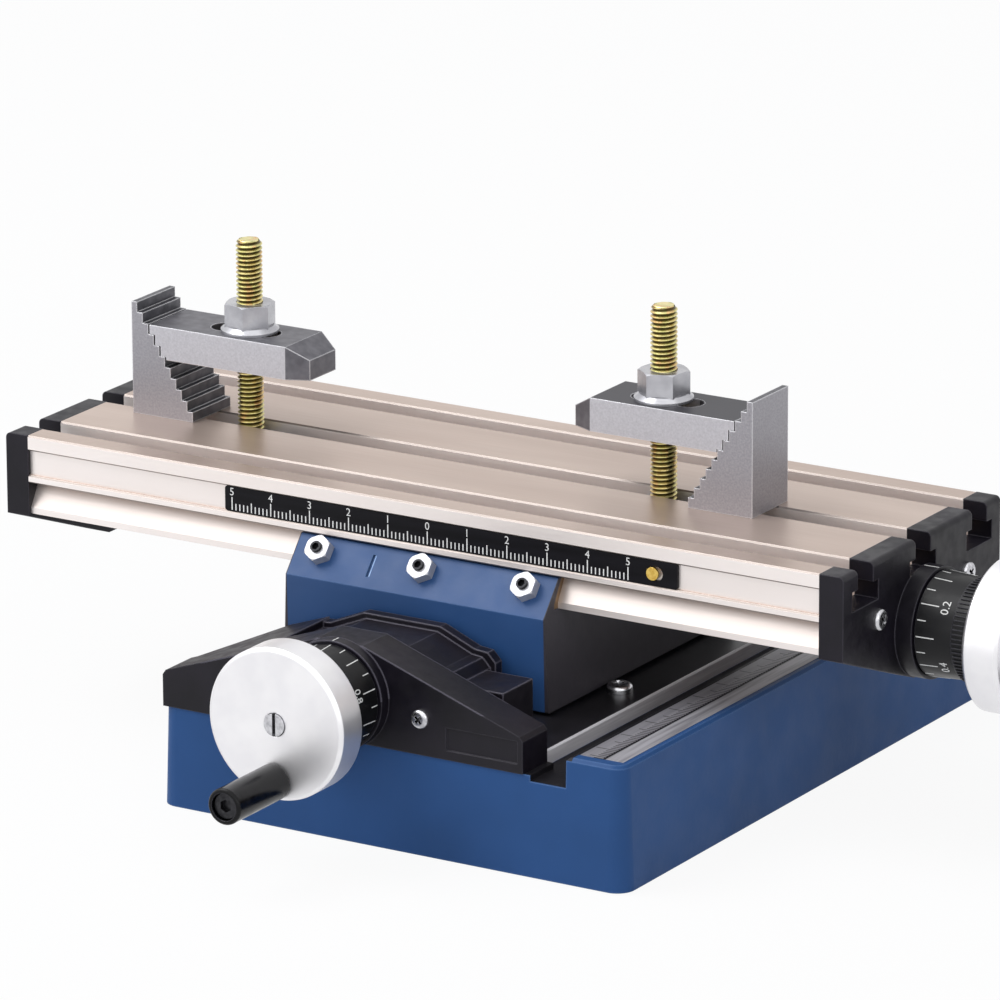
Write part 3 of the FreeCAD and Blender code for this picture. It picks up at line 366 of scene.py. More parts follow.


# The pan-head screws of the plate, the cover and the end caps: cold-headed steel, zinc plated,
# with a cross recess punched in the crown. One is shaped and then set in each hole.
# The dark tone laid in hollows is painted shade.
SCREW_ZINC, SCREW_SHADE, RECESS_PAINTED_SHADE = "#D2D2D6", "#A3A3A8", "#232327"
PLATE_SEATS = [((x, y, 24.4), (0, 0, 1)) for x in (-40.3, 37.3) for y in (-16.4, 60.0)]
COVER_SEATS = [((x, -69.5, 30.5), (0, -1, 0)) for x in (-20.3, 20.3)]
CAP_SEATS = [((x, y, 52.0), (way, 0, 0)) for x, way in ((-109.4, -1), (102.2, 1)) for y in (-19.4, 19.4)]
SCREW_PLACES = {        # head radius and height, shank radius and length, body, seats
    "way_plate_screws": (2.9, 2.0, 1.6, 11.0, "base", PLATE_SEATS),
    "front_cover_screws": (2.15, 1.5, 1.3, 9.4, "base", COVER_SEATS),
    "end_cap_screws": (2.35, 1.3, 1.45, 13.0, "table", CAP_SEATS),
}
CROWN_SHARE = 0.62      # of the head's height that is rounded
ARM_LONG, ARM_WIDE, ARM_DEEP, ARM_TAPER = 1.25, 0.36, 1.3, 0.55     # shares of the head
SHANK_OVERLAP = 0.02


def hollows(tree, reach, strength):
    """A mask of narrow hollows, where painted shade goes."""
    open_sky = put(tree, "ShaderNodeAmbientOcclusion", {"samples": 6, "only_local": True},
                   {"Distance": reach * MM})
    mask = put(tree, "ShaderNodeMapRange", feeds={"Value": open_sky.outputs["AO"], "From Min": 0.75,
                                                  "From Max": 0.35, "To Min": 0.0, "To Max": strength})
    return mask.outputs[0]


def plated(name, light, shade, roughness, patch=1.5, metallic=1.0):
    """A small metal part's finish: cloudy by patches, with a painted highlight at its corners and painted
    shade in its hollows.
    """
    made, tree, shader, where = finish_for(name, Metallic=metallic, Roughness=roughness)
    tone = tinted(tree, shader, grain(tree, where, patch, detail=3.0), shade, light, (0.3, 0.6))
    # A painted highlight on the corners, then painted shade in the hollows.
    tone = laid_over(tree, shader, tone, corners(tree, 0.15, 0.5), light)
    laid_over(tree, shader, tone, hollows(tree, 1.2, 0.9), RECESS_PAINTED_SHADE)
    surface(tree, shader, grain(tree, where, 0.25), 0.004, 0.12)
    return made


def apply_all(piece):
    """Make an active piece's modifiers part of its mesh."""
    for held in list(piece.modifiers):
        bpy.ops.object.modifier_apply(modifier=held.name)


def alone(piece):
    """Select one piece and make it the active one."""
    bpy.ops.object.select_all(action="DESELECT")
    piece.select_set(True)
    bpy.context.view_layer.objects.active = piece


def cross_screw(radius, height, shank, length):
    """A pan head on the origin's plane, its crown up, with a tapered cross recess and a shank."""
    bpy.ops.mesh.primitive_cylinder_add(vertices=48, radius=radius * MM, depth=height * MM,
                                        location=(0, 0, height / 2.0 * MM))
    head = bpy.context.object
    bpy.ops.object.transform_apply(location=True)
    bpy.ops.object.mode_set(mode="EDIT")
    bpy.ops.mesh.select_all(action="DESELECT")
    bpy.ops.object.mode_set(mode="OBJECT")
    for edge in head.data.edges:
        ends = [head.data.vertices[i].co.z for i in edge.vertices]
        edge.select = min(ends) > (height - 0.01) * MM
    bpy.ops.object.mode_set(mode="EDIT")
    bpy.ops.mesh.bevel(offset=height * CROWN_SHARE * MM, segments=7, affect="EDGES")
    bpy.ops.object.mode_set(mode="OBJECT")
    arms = []
    for turn in (45.0, 135.0):
        bpy.ops.mesh.primitive_cube_add(size=1.0, location=(0, 0, height * MM))
        arm = bpy.context.object
        arm.scale = (radius * ARM_LONG * MM, radius * ARM_WIDE * MM, height * ARM_DEEP * MM)
        arm.rotation_euler = (0, 0, math.radians(turn))
        bpy.ops.object.transform_apply(location=True, rotation=True, scale=True)
        for v in arm.data.vertices:
            if v.co.z < height * MM:
                v.co.x, v.co.y = v.co.x * ARM_TAPER, v.co.y * ARM_TAPER
        arms.append(arm)
    for arm in arms:
        alone(head)
        cut = head.modifiers.new("recess", "BOOLEAN")
        cut.operation, cut.object, cut.solver = "DIFFERENCE", arm, "EXACT"
        apply_all(head)
        bpy.data.objects.remove(arm)
    bpy.ops.mesh.primitive_cylinder_add(vertices=24, radius=shank * MM, depth=length * MM,
                                        location=(0, 0, (SHANK_OVERLAP - length / 2.0) * MM))
    stem = bpy.context.object
    bpy.ops.object.transform_apply(location=True)
    alone(head)
    stem.select_set(True)
    bpy.ops.object.join()
    bpy.ops.object.shade_smooth_by_angle(angle=math.radians(40))
    return head


def set_copies(master, name, places):
    """Stand a copy of the master at each (seat, outward direction), and join them as one piece."""
    made = []
    for seat, outward in places:
        copy = master.copy()
        copy.data = master.data.copy()
        bpy.context.collection.objects.link(copy)
        turn = Vector((0, 0, 1)).rotation_difference(Vector(outward)).to_matrix().to_4x4()
        copy.data.transform(Matrix.Translation(Vector(seat) * MM) @ turn)
        made.append(copy)
    bpy.data.objects.remove(master)
    alone(made[0])
    for copy in made[1:]:
        copy.select_set(True)
    if len(made) > 1:
        bpy.ops.object.join()
    made[0].name = name
    return made[0]


zinc = plated("bright_zinc_plate", SCREW_ZINC, SCREW_SHADE, 0.26)
for node_name, (head_r, head_h, shank_r, shank_l, body_name, places) in SCREW_PLACES.items():
    one = cross_screw(head_r, head_h, shank_r, shank_l)
    screws = set_copies(one, node_name.replace("screws", "cross_screws"), places)
    wear(screws, zinc, body_name)
    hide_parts(node_name)


# The front cover: one moulding of black ABS over the lead screw's bearing. Its faces are lightly
# spark-etched, and its corners get a painted highlight.
ABS_BLACK, ABS_LIGHT, ABS_EDGE_HIGHLIGHT = "#0D0B12", "#17141D", "#73707D"
HOOD_FOOT_Z = 33.5      # the hood's rim is thicker above this, and gets a stronger painted highlight


def moulded(name, dark, light, roughness, edge=0.45, gloss=0.22, highlight=0.3):
    """Black plastic with a fine etch, its edges eased by edge mm and a painted highlight on its corners."""
    made, tree, shader, where = finish_for(name, Roughness=roughness, IOR=1.53, Specular_IOR_Level=gloss)
    tone = tinted(tree, shader, grain(tree, where, 14.0, detail=3.0), dark, light)
    laid_over(tree, shader, tone, corners(tree, 0.35, highlight), ABS_EDGE_HIGHLIGHT)
    tinted(tree, shader, grain(tree, where, 3.0), roughness - 0.05, roughness + 0.07, socket="Roughness")
    surface(tree, shader, grain(tree, where, 0.35, detail=4.0), 0.014, edge)
    return made


def hood_abs():
    """The cover's plastic, with a stronger painted highlight on the rounded rim of its hood."""
    made = moulded("etched_black_abs_cover", ABS_BLACK, ABS_LIGHT, 0.42, highlight=0.22)
    tree, shader = made.node_tree, made.node_tree.nodes["Principled BSDF"]
    where = put(tree, "ShaderNodeTexCoord").outputs["Object"]
    above = within(tree, where, (None, None, HOOD_FOOT_Z), (None, None, None))
    rim = put(tree, "ShaderNodeMath", {"operation": "MULTIPLY"}, {0: corners(tree, 0.6, 0.85), 1: above})
    tone = shader.inputs["Base Color"].links[0].from_socket
    laid_over(tree, shader, tone, rim.outputs[0], ABS_EDGE_HIGHLIGHT)
    return made


dress(hood_abs(), "front_cover")


# The bronze parts: the front bush pressed into the cover, the nuts of both lead screws and the
# bushes in the end caps. Turned or milled bar, left bare, with a faint tool mark.
BRONZE_LIGHT, BRONZE_SHADE = "#C99A5B", "#A97C45"
bronze = plated("turned_bronze", BRONZE_LIGHT, BRONZE_SHADE, 0.33, 4.0)
dress(bronze, "y_bush", "x_bush_left", "x_bush_right", "x_nut", "y_nut")


# The saddle: a blue casting like the base, milled where it slides and blacked on both ends. Three
# nuts on its slanted facet lock the set screws of the table's bronze gib, and three more at its
# left those of the lower one. A line scribed in the facet is read against the ruler.
SADDLE_END_BLACK = "#37343B"
SADDLE_RIGHT_END = ((32.4, None, None), (None, None, None))
SADDLE_LEFT_END = ((None, None, None), (-32.4, None, None))
WITNESS_LOW, WITNESS_HIGH = (-0.18, -2.5, -0.02), (0.1, 2.5, 0.03)
WITNESS_PLACE, FACET_RISE, FACET_RUN = (-12.36, -36.724, 50.052), 7.6, 6.3
FLANK_LIT_BLUE, FLANK_LIT_PALE = "#5B82B8", "#86A8D6"
GIB_BRONZE, GIB_SHADE = "#8F775C", "#66543F"
NUT_ZINC, NUT_SHADE = "#C4C4C9", "#B2B2B7"
SET_SCREW_BLACK, SOCKET_BLACK = "#2A2A2D", "#1E1E21"


def chipped_blue():
    """The blue of a scribed line's lit flank: painted light on the facet."""
    made, tree, shader, where = finish_for("lit_flank_blue_enamel", Roughness=0.4)
    tinted(tree, shader, grain(tree, where, 1.0), FLANK_LIT_BLUE, FLANK_LIT_PALE)
    surface(tree, shader, grain(tree, where, 0.4), 0.02, 0.02)
    return made


dress(blue_paint("baked_blue_enamel_saddle", [SADDLE_RIGHT_END, SADDLE_LEFT_END], SADDLE_END_BLACK, 0.35),
      "saddle_casting")
# The scribed line's lit flank is a strip of painted light, paler than the facet.
witness = edge_strip("witness_lit", WITNESS_LOW, WITNESS_HIGH, 0.01)
witness.data.transform(Matrix.Translation(Vector(WITNESS_PLACE) * MM)
                       @ Matrix.Rotation(math.atan2(FACET_RISE, FACET_RUN), 4, "X"))
wear(witness, chipped_blue(), "saddle")
dress(plated("aged_gib_bronze", GIB_BRONZE, GIB_SHADE, 0.45, 3.0), "x_gib", "y_gib")
dress(plated("zinc_hex_nut", NUT_ZINC, NUT_SHADE, 0.36, 2.5, 0.4), "x_gib_nuts", "y_gib_nuts")
dress(plated("blacked_set_screw", SET_SCREW_BLACK, SOCKET_BLACK, 0.4, 1.0, 0.8),
      "x_gib_screws", "y_gib_screws")


# The table: a length of aluminium extrusion with three T-slots, the die's fine lines along it,
# etched and anodised champagne. Its top, lower flare and slot lips get painted shade, a tone for each
# slope, and its corners a painted edge tone. Each end is closed by a cap of the cover's black plastic.
CHAMPAGNE, CHAMPAGNE_DEEP, CHAMPAGNE_PAINTED_EDGE = "#F3ECE9", "#ECE3DF", "#E2D6CF"
TOP_PAINTED_SHADE, TOP_PAINTED_SHADE_DEEP, FLARE_PAINTED_SHADE = "#C6B4A9", "#B7A499", "#D6CCC7"
LIP_PAINTED_SHADE = "#8A817C"        # the small chamfers at the slots' lips, which catch the light, painted darker to hold down their highlight
FLARE_SLOPE, LIP_SLOPE, TOP_SLOPE = 0.1, 0.6, 0.75      # how far up or down a face has to look


def champagne_anodised():
    """Anodised aluminium with painted shade, a tone for each slope of the section, and the die's lines along
    X.
    """
    made, tree, shader, where = finish_for("champagne_anodised_extrusion", Metallic=0.66, Roughness=0.36)
    broad = grain(tree, where, 22.0, (0.25, 1.0, 1.0), 3.0)
    sides = tinted(tree, shader, broad, CHAMPAGNE_DEEP, CHAMPAGNE)
    top = tinted(tree, shader, broad, TOP_PAINTED_SHADE_DEEP, TOP_PAINTED_SHADE)
    tone = laid_over(tree, shader, sides, faces_along(tree, 2, FLARE_SLOPE), FLARE_PAINTED_SHADE)
    tone = laid_over(tree, shader, tone, faces_along(tree, 2, LIP_SLOPE), LIP_PAINTED_SHADE)
    tone = laid_over(tree, shader, tone, faces_along(tree, 2, TOP_SLOPE), top)
    laid_over(tree, shader, tone, corners(tree, 0.25, 0.35), CHAMPAGNE_PAINTED_EDGE)
    lines = grain(tree, where, 0.35, (0.015, 1.0, 1.0), 3.0)
    tinted(tree, shader, lines, 0.33, 0.42, socket="Roughness")
    surface(tree, shader, lines, 0.006, 0.05)
    return made


dress(champagne_anodised(), "table_top")
dress(moulded("etched_black_abs", ABS_BLACK, ABS_LIGHT, 0.42), "left_end_cap", "right_end_cap")


# The ruler in the table's front groove: aluminium anodised black, with white millimetre lines
# and figures counted from the middle both ways. One brass screw holds its right end.
RULER_BLACK, RULER_SHEEN = "#0D0C10", "#151419"
RULER_WHITE, RULER_WHITE_WORN = "#EDEDEC", "#DADBD9"
BRASS_LIGHT, BRASS_SHADE = "#EBCB70", "#D2A94E"
RULER_FACE = -34.5 + 0.9 - 0.02 - 0.7       # the table's front, its groove, the play, the ruler
RULER_FOOT, RULER_CAP, RULER_HALF = 56.04, 61.58, 50.0
RULER_LINE_WIDE, RULER_LINES = 0.27, ((1.0, 1.5), (5.0, 2.2), (10.0, 2.9))
FIGURE_HEIGHT, FIGURE_DROP, FIGURE_THICK = 1.8, 1.25, 0.02
CAPITAL_SHARE = 0.73        # of the font's size that a figure's height takes


def ruler_black():
    """Black anodising with the rule's white lines, from its foot upwards."""
    made, tree, shader, where = finish_for("black_anodised_rule", Roughness=0.42, Specular_IOR_Level=0.12)
    tone = tinted(tree, shader, grain(tree, where, 2.0, (0.1, 1.0, 1.0)), RULER_BLACK, RULER_SHEEN)
    foot, reach = RULER_FOOT + 0.25, RULER_HALF + 0.3
    lines = ruled(tree, where, 0, 2, foot, 1.0, RULER_LINE_WIDE, RULER_LINES)
    kept = within(tree, where, (-reach, None, foot), (reach, None, None))
    printed = put(tree, "ShaderNodeMath", {"operation": "MULTIPLY"}, {0: lines, 1: kept})
    laid_over(tree, shader, tone, printed.outputs[0], RULER_WHITE)
    surface(tree, shader, grain(tree, where, 0.3, (0.05, 1.0, 1.0)), 0.003, 0.12)
    return made


def figure(text, height, thick):
    """A figure as a mesh on the XY plane, centred on the origin, its face up."""
    bpy.ops.object.text_add(location=(0, 0, 0))
    made = bpy.context.object
    made.data.body = text
    made.data.size = height / CAPITAL_SHARE * MM
    made.data.align_x, made.data.align_y = "CENTER", "CENTER"
    made.data.extrude = thick * MM
    made.data.resolution_u = 3
    alone(made)
    bpy.ops.object.convert(target="MESH")
    return bpy.context.object


def join_up(pieces, name):
    """Join new pieces into one."""
    alone(pieces[0])
    for piece in pieces[1:]:
        piece.select_set(True)
    if len(pieces) > 1:
        bpy.ops.object.join()
    pieces[0].name = name
    return pieces[0]


def printed_white():
    """The white that fills engraved lines and figures."""
    made, tree, shader, where = finish_for("white_filled_engraving", Roughness=0.5)
    tinted(tree, shader, grain(tree, where, 0.6), RULER_WHITE_WORN, RULER_WHITE)
    surface(tree, shader, grain(tree, where, 0.2), 0.004, 0.02)
    return made


dress(ruler_black(), "scale_bar")
white_fill = printed_white()
ruler_figures = []
for step in range(-5, 6):
    digit = figure(str(abs(step)), FIGURE_HEIGHT, FIGURE_THICK)
    stand = Matrix.Translation(Vector((step * 10.0, RULER_FACE - 0.005, RULER_CAP - FIGURE_DROP)) * MM)
    digit.data.transform(stand @ Matrix.Rotation(math.radians(90), 4, "X"))
    ruler_figures.append(digit)
wear(join_up(ruler_figures, "ruler_figures"), white_fill, "ruler")
dress(plated("brass_screw", BRASS_LIGHT, BRASS_SHADE, 0.3, 0.8), "scale_screw")


# The lead screws: steel bar of 8 mm with a rolled thread of 1 mm pitch, one under the table and
# one along the way plate. They turn in the bronze bushes and mostly stay out of sight.
STEEL_THREAD, STEEL_THREAD_ROOT_SHADE = "#B9BABD", "#77787C"
LEAD_PITCH, LEAD_DEPTH = 1.0, 0.35


def waves(tree, run, pitch):
    """Ridges 0 to 1 high, one to each pitch mm of a length."""
    rise = put(tree, "ShaderNodeMath", {"operation": "PINGPONG"}, {0: run, 1: pitch / 2.0 * MM})
    level = put(tree, "ShaderNodeMath", {"operation": "MULTIPLY"},
                {0: rise.outputs[0], 1: 2.0 / (pitch * MM)})
    return level.outputs[0]


def rolled_thread(name, axis):
    """A thread in the finish alone, along the axis, its roots darker with painted shade."""
    made, tree, shader, where = finish_for(name, Metallic=1.0, Roughness=0.3)
    place = put(tree, "ShaderNodeSeparateXYZ", feeds={0: where}).outputs
    level = waves(tree, place[axis], LEAD_PITCH)
    tinted(tree, shader, level, STEEL_THREAD_ROOT_SHADE, STEEL_THREAD, (0.1, 0.8))
    surface(tree, shader, level, LEAD_DEPTH, 0.05)
    return made


dress(rolled_thread("rolled_thread_x", 0), "x_lead_screw")
dress(rolled_thread("rolled_thread_y", 1), "y_lead_screw")


# The dials: black acetal sleeves on the handwheels' hubs. White lines at each 0.05 mm, longer at
# each 0.1, figures at each 0.2, and a grip ring with fine ribs to turn it back to zero.
DIAL_BLACK, DIAL_SHEEN = "#0B0B0D", "#111114"
DIAL_BACK, DIAL_FRONT, DIAL_BAND, DIAL_RING = 11.5, 11.0, 8.5, 5.2      # two radii, two lengths
LONG_LINE, SHORT_LINE, LINE_WIDE, LINE_START = 4.2, 2.0, 0.24, 0.35
LINE_SUNK, LINE_PROUD, LINE_SOFT = 0.1, 0.035, 0.015
LINE_COUNT = 10             # long lines in a turn of 1 mm, with as many short ones between them
RIB_COUNT, RIB_HALF, RIB_LOW, RIB_TOP, RIB_SOFT = 72, 0.15, 11.1, 11.55, 0.1
RIB_GAP = (0.35, 0.45)      # left free before and behind the ribs
DIAL_FIGURE, DIAL_FIGURES, FIGURE_GAP = 1.9, 5, 0.7
X_SCREW_Z, Y_SCREW_Z = 46.6, 32.9
WELD = 0.002            # vertices nearer than this are one
AXES = {        # where each dial starts, its frame (along, across) and the turn of its zero
    "x": (Vector((106.5, 0.0, X_SCREW_Z)), Matrix(((0, 0, 1), (0, -1, 0), (1, 0, 0))).to_4x4(), -19.0),
    "y": (Vector((0.0, -72.6, Y_SCREW_Z)), Matrix(((0, -1, 0), (0, 0, -1), (1, 0, 0))).to_4x4(), 0.0),
}


def band_radius(along):
    """The graduated band's radius, which falls a little towards the operator."""
    return DIAL_BACK + (DIAL_FRONT - DIAL_BACK) * along / DIAL_BAND


def ring_of(count, start, low, high, name, soften, taper):
    """A bar laid on the dial's side, along its axis, and copied count times round it."""
    bar = edge_strip(name, low, high, soften)
    if taper:
        for v in bar.data.vertices:
            v.co.x += (band_radius(v.co.z / MM) - DIAL_BACK) * MM
    bar.data.transform(Matrix.Rotation(math.radians(start), 4, "Z"))
    alone(bar)
    bpy.ops.object.mode_set(mode="EDIT")
    bpy.ops.mesh.select_all(action="SELECT")
    bpy.ops.mesh.spin(steps=count, dupli=True, angle=2.0 * math.pi, center=(0, 0, 0), axis=(0, 0, 1))
    bpy.ops.mesh.select_all(action="SELECT")
    bpy.ops.mesh.remove_doubles(threshold=WELD * MM)
    bpy.ops.object.mode_set(mode="OBJECT")
    return bar


def wrapped_figure(text, turn):
    """A dial figure bent round the band, its top towards the lines."""
    made = figure(text, DIAL_FIGURE, 0.03)
    middle = LINE_START + LONG_LINE + FIGURE_GAP + DIAL_FIGURE / 2.0
    for v in made.data.vertices:
        along = middle - v.co.y / MM
        radius = band_radius(along) + 0.05 + v.co.z / MM
        angle = math.radians(turn) - v.co.x / MM / radius
        v.co = Vector((radius * math.cos(angle), radius * math.sin(angle), along)) * MM
    return made


def dial_lines(turn, length):
    """The band's lines of one length, the first of them at a turn in degrees."""
    return ring_of(LINE_COUNT, turn, (DIAL_BACK - LINE_SUNK, -LINE_WIDE / 2, LINE_START),
                   (DIAL_BACK + LINE_PROUD, LINE_WIDE / 2, LINE_START + length), "lines", LINE_SOFT, True)


acetal = moulded("black_acetal", DIAL_BLACK, DIAL_SHEEN, 0.34, 0.25)
for prefix, (start, frame_turn, zero_turn) in AXES.items():
    dress(acetal, prefix + "_dial")
    place = Matrix.Translation(start * MM) @ frame_turn
    printed = [dial_lines(zero_turn, LONG_LINE), dial_lines(zero_turn + 180.0 / LINE_COUNT, SHORT_LINE)]
    for k in range(DIAL_FIGURES):
        printed.append(wrapped_figure("0.%d" % (2 * k) if k else "0", zero_turn + 360.0 / DIAL_FIGURES * k))
    marks = join_up(printed, prefix + "_dial_marks")
    ribs = ring_of(RIB_COUNT, 0.0, (RIB_LOW, -RIB_HALF, DIAL_BAND + RIB_GAP[0]),
                   (RIB_TOP, RIB_HALF, DIAL_BAND + DIAL_RING - RIB_GAP[1]),
                   prefix + "_dial_ribs", RIB_SOFT, False)
    for piece, finish in ((marks, white_fill), (ribs, acetal)):
        piece.data.transform(place)
        wear(piece, finish, prefix + "_dial_ring")


# The index lines on the two bearing bosses, against which the dials are read: engraved and
# filled white like the dials' own.
INDEX_HALF, INDEX_LOW, INDEX_TOP, INDEX_SOFT = 0.13, 12.1, 12.25, 0.02
Y_INDEX = ((-INDEX_HALF, -72.2, Y_SCREW_Z + INDEX_LOW), (INDEX_HALF, -69.9, Y_SCREW_Z + INDEX_TOP))
X_INDEX = ((102.6, -INDEX_HALF, X_SCREW_Z + INDEX_LOW), (106.1, INDEX_HALF, X_SCREW_Z + INDEX_TOP))
for name, (low, high), body_name in (("y_index_line", Y_INDEX, "base"), ("x_index_line", X_INDEX, "table")):
    wear(edge_strip(name, low, high, INDEX_SOFT), white_fill, body_name)


# The handwheels: turned aluminium, faced with a fine spiral that spreads the light in a fan, and
# broad corner chamfers. A slotted screw holds each on its journal.
WHEEL_LIGHT, WHEEL_SHADE = "#F0EFF1", "#E9E8EB"
NICKEL_LIGHT, NICKEL_SHADE = "#D2D2D6", "#A5A5AA"
TURNING_PITCH = 0.28    # mm; the real feed is finer, drawn coarse enough to show
X_WHEEL_CENTRE, Y_WHEEL_CENTRE = (125.0, 0.0, X_SCREW_Z), (0.0, -90.7, Y_SCREW_Z)


def off_axis(tree, where, centre, axis):
    """The distance from the line that runs through a centre along an axis."""
    away = put(tree, "ShaderNodeVectorMath", {"operation": "SUBTRACT"}, {0: where, 1: Vector(centre) * MM})
    kept = [0.0 if k == axis else 1.0 for k in range(3)]
    flat = put(tree, "ShaderNodeVectorMath", {"operation": "MULTIPLY"}, {0: away.outputs[0], 1: kept})
    far = put(tree, "ShaderNodeVectorMath", {"operation": "LENGTH"}, {0: flat.outputs[0]})
    return far.outputs["Value"]


def turned_aluminium(name, centre, axis):
    """Aluminium faced in the lathe, with the feed's rings round its own axis."""
    made, tree, shader, where = finish_for(name, Metallic=0.85, Roughness=0.36)
    tinted(tree, shader, grain(tree, where, 7.0), WHEEL_SHADE, WHEEL_LIGHT)
    surface(tree, shader, waves(tree, off_axis(tree, where, centre, axis), TURNING_PITCH), 0.0005, 0.5)
    return made


dress(turned_aluminium("turned_aluminium_x", X_WHEEL_CENTRE, 0), "x_handwheel")
dress(turned_aluminium("turned_aluminium_y", Y_WHEEL_CENTRE, 1), "y_handwheel")
dress(plated("nickel_slotted_screw", NICKEL_LIGHT, NICKEL_SHADE, 0.3, 1.0), "x_wheel_screw", "y_wheel_screw")


# The crank handles: a black sleeve turned from acetal, smooth in the hand, running on a pin whose
# socket head sits in a counterbore at the end.
GRIP_BLACK, GRIP_SHEEN, PIN_BLACK, PIN_DEEP = "#060608", "#0B0B0E", "#3A3A3D", "#242427"
dress(moulded("polished_black_acetal", GRIP_BLACK, GRIP_SHEEN, 0.2, 0.5, 0.16), "x_grip", "y_grip")
dress(plated("blacked_socket_pin", PIN_BLACK, PIN_DEEP, 0.35, 1.0, 0.85), "x_handle_pin", "y_handle_pin")


# The clamps. The T-nut, block and strap are steel, blasted and oiled to a dull grey and then
# ground on the two broad sides. Their corners get a painted highlight.
CLAMP_EDGE_HIGHLIGHT = "#DADADE"
STRAP_TONES = ("#B3B2B8", "#C4C3C9", "#5D5C62", "#6F6E74")      # sides, then the oiled faces
RIGHT_STRAP_TOP_SHADE = "#3C3B41"     # painted shade on the right one's top
BLOCK_TONES = ("#918F95", "#A3A2A8", "#505055", "#65646A")
FLANGE_ZINC, FLANGE_SHADE = "#BCBCC1", "#A3A3A9"
SQUARE_ON = 0.97        # a face looks this nearly straight along an axis to count as ground


def ground_clamp_steel(name, tones, back, top=None):
    """Oiled steel, ground on its sides and its back, which looks along X the way that back says; painted
    shade on a given top and in the hollows, a painted highlight on the corners.
    """
    made, tree, shader, where = finish_for(name, Metallic=0.75, Roughness=0.44)
    fine = grain(tree, where, 0.45, detail=4.0)
    side = tinted(tree, shader, fine, tones[0], tones[1], (0.3, 0.7))
    oiled = tinted(tree, shader, grain(tree, where, 2.6, detail=5.0), tones[2], tones[3])
    tone = laid_over(tree, shader, oiled, faces_along(tree, 1, SQUARE_ON), side)
    tone = laid_over(tree, shader, tone, faces_along(tree, 0, SQUARE_ON, back), side)
    if top:
        tone = laid_over(tree, shader, tone, faces_along(tree, 2, SQUARE_ON, 1.0), top)
    tone = laid_over(tree, shader, tone, hollows(tree, 2.0, 0.5), RECESS_PAINTED_SHADE)
    laid_over(tree, shader, tone, corners(tree, 0.42, 0.95), CLAMP_EDGE_HIGHLIGHT)
    surface(tree, shader, fine, 0.012, 0.2)
    return made


for side_name, back, shaded_top in (("left", -1.0, None), ("right", 1.0, RIGHT_STRAP_TOP_SHADE)):
    dress(ground_clamp_steel("ground_strap_steel_" + side_name, STRAP_TONES, back, shaded_top),
          side_name + "_strap")
    dress(ground_clamp_steel("ground_block_steel_" + side_name, BLOCK_TONES, back),
          side_name + "_t_nut", side_name + "_step_block")
dress(plated("zinc_flange_nut", FLANGE_ZINC, FLANGE_SHADE, 0.24, 5.0, 0.75),
      "left_flange_nut", "right_flange_nut")


# The studs: M6 rod with a rolled thread, zinc plated and passivated yellow, so the colour runs
# from straw to green and pink round the turns.
STUD_MAJOR, STUD_ROOT, STUD_PITCH = 2.95, 2.4, 1.0
STUD_FOOT, STUD_TOP, STUD_TAPER = 56.8, 106.9, 0.7
STUD_PLACES = {"left": -67.3, "right": 38.6}
THREAD_SHAPE = ((STUD_ROOT, 0.0), (STUD_ROOT + 0.03, 0.12), (STUD_MAJOR, 0.48),
                (STUD_MAJOR - 0.02, 0.62), (STUD_ROOT, 1.0))       # radius, and share of the pitch
THREAD_STEPS = 28
ZINC_TONES = ((0.3, "#D2BE78"), (0.42, "#EBDC9E"), (0.52, "#CFCB86"), (0.6, "#E0BC84"), (0.72, "#DCC980"))
THREAD_BROWN = "#3A2E14"


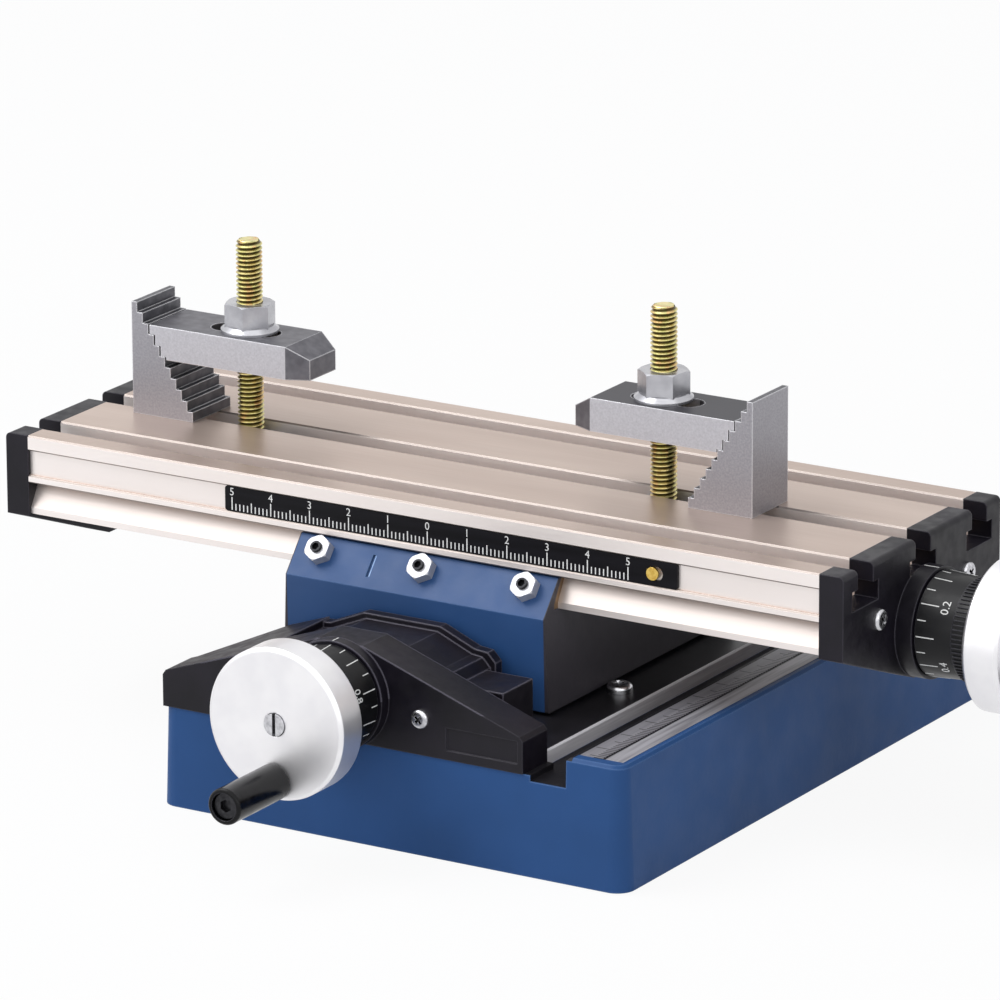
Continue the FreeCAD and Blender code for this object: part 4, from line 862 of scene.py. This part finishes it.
def threaded_stud(name, x):
    """One turn's profile wound up the stud, cut flat at both ends and rounded at the top."""
    bpy.ops.mesh.primitive_grid_add(x_subdivisions=1, y_subdivisions=4, size=STUD_PITCH * MM)
    rod = bpy.context.object
    bpy.ops.object.mode_set(mode="EDIT")
    bpy.ops.mesh.select_all(action="DESELECT")
    bpy.ops.object.mode_set(mode="OBJECT")
    for v in rod.data.vertices:
        v.select = v.co.x > 0
    bpy.ops.object.mode_set(mode="EDIT")
    bpy.ops.mesh.delete(type="VERT")
    bpy.ops.object.mode_set(mode="OBJECT")
    levels = sorted(rod.data.vertices, key=lambda v: v.co.y)
    for v, (radius, share) in zip(levels, THREAD_SHAPE):
        v.co = Vector((radius, 0.0, STUD_FOOT + (share - 1.5) * STUD_PITCH)) * MM
    wind = rod.modifiers.new("thread", "SCREW")
    wind.axis, wind.angle, wind.steps, wind.render_steps = "Z", 2.0 * math.pi, THREAD_STEPS, THREAD_STEPS
    wind.screw_offset, wind.iterations = STUD_PITCH * MM, int((STUD_TOP - STUD_FOOT) / STUD_PITCH) + 3
    wind.use_merge_vertices, wind.merge_threshold = True, WELD * MM
    alone(rod)
    apply_all(rod)
    bpy.ops.object.mode_set(mode="EDIT")
    for height, keep_below in ((STUD_TOP, True), (STUD_FOOT, False)):
        bpy.ops.mesh.select_all(action="SELECT")
        bpy.ops.mesh.remove_doubles(threshold=WELD * MM)
        bpy.ops.mesh.select_all(action="SELECT")
        bpy.ops.mesh.bisect(plane_co=(0, 0, height * MM), plane_no=(0, 0, 1), use_fill=True,
                            clear_outer=keep_below, clear_inner=not keep_below)
    bpy.ops.mesh.select_all(action="SELECT")
    bpy.ops.mesh.normals_make_consistent(inside=False)
    bpy.ops.object.mode_set(mode="OBJECT")
    for v in rod.data.vertices:
        over = v.co.z - (STUD_TOP - STUD_TAPER) * MM
        limit = STUD_MAJOR * MM - max(over, 0.0)
        flat = math.hypot(v.co.x, v.co.y)
        if flat > limit:
            v.co.x, v.co.y = v.co.x * limit / flat, v.co.y * limit / flat
        v.co.x += x * MM
    bpy.ops.object.shade_smooth_by_angle(angle=math.radians(35))
    rod.name = name
    return rod


def yellow_zinc(name, x):
    """Straw and green patches on the crests, brown where the passivation pools in the roots."""
    made, tree, shader, where = finish_for(name, Metallic=0.9, Roughness=0.3)
    ramp = put(tree, "ShaderNodeValToRGB", feeds={"Fac": grain(tree, where, 3.2, (1.0, 1.0, 0.6), 3.0)})
    stops = ramp.color_ramp.elements
    for stop, (position, tone) in zip((stops[0], stops[1]), (ZINC_TONES[0], ZINC_TONES[-1])):
        stop.position, stop.color = position, linear(tone)
    for position, tone in ZINC_TONES[1:-1]:
        stops.new(position).color = linear(tone)
    depth = off_axis(tree, where, (x, 0.0, 0.0), 2)
    root = put(tree, "ShaderNodeMapRange", feeds={
        "Value": depth, "From Min": (STUD_MAJOR - 0.1) * MM, "From Max": (STUD_ROOT + 0.05) * MM,
        "To Min": 0.0, "To Max": 0.92})
    below_top = within(tree, where, (None, None, None), (None, None, STUD_TOP - 0.15))
    brown = put(tree, "ShaderNodeMath", {"operation": "MULTIPLY"}, {0: root.outputs[0], 1: below_top})
    laid_over(tree, shader, ramp.outputs[0], brown.outputs[0], THREAD_BROWN)
    surface(tree, shader, grain(tree, where, 0.3), 0.004, 0.04)
    return made


for side_name, x in STUD_PLACES.items():
    stud = threaded_stud(side_name + "_threaded_stud", x)
    wear(stud, yellow_zinc("yellow_passivated_zinc_" + side_name, x), side_name + "_clamp")
    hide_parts(side_name + "_stud")
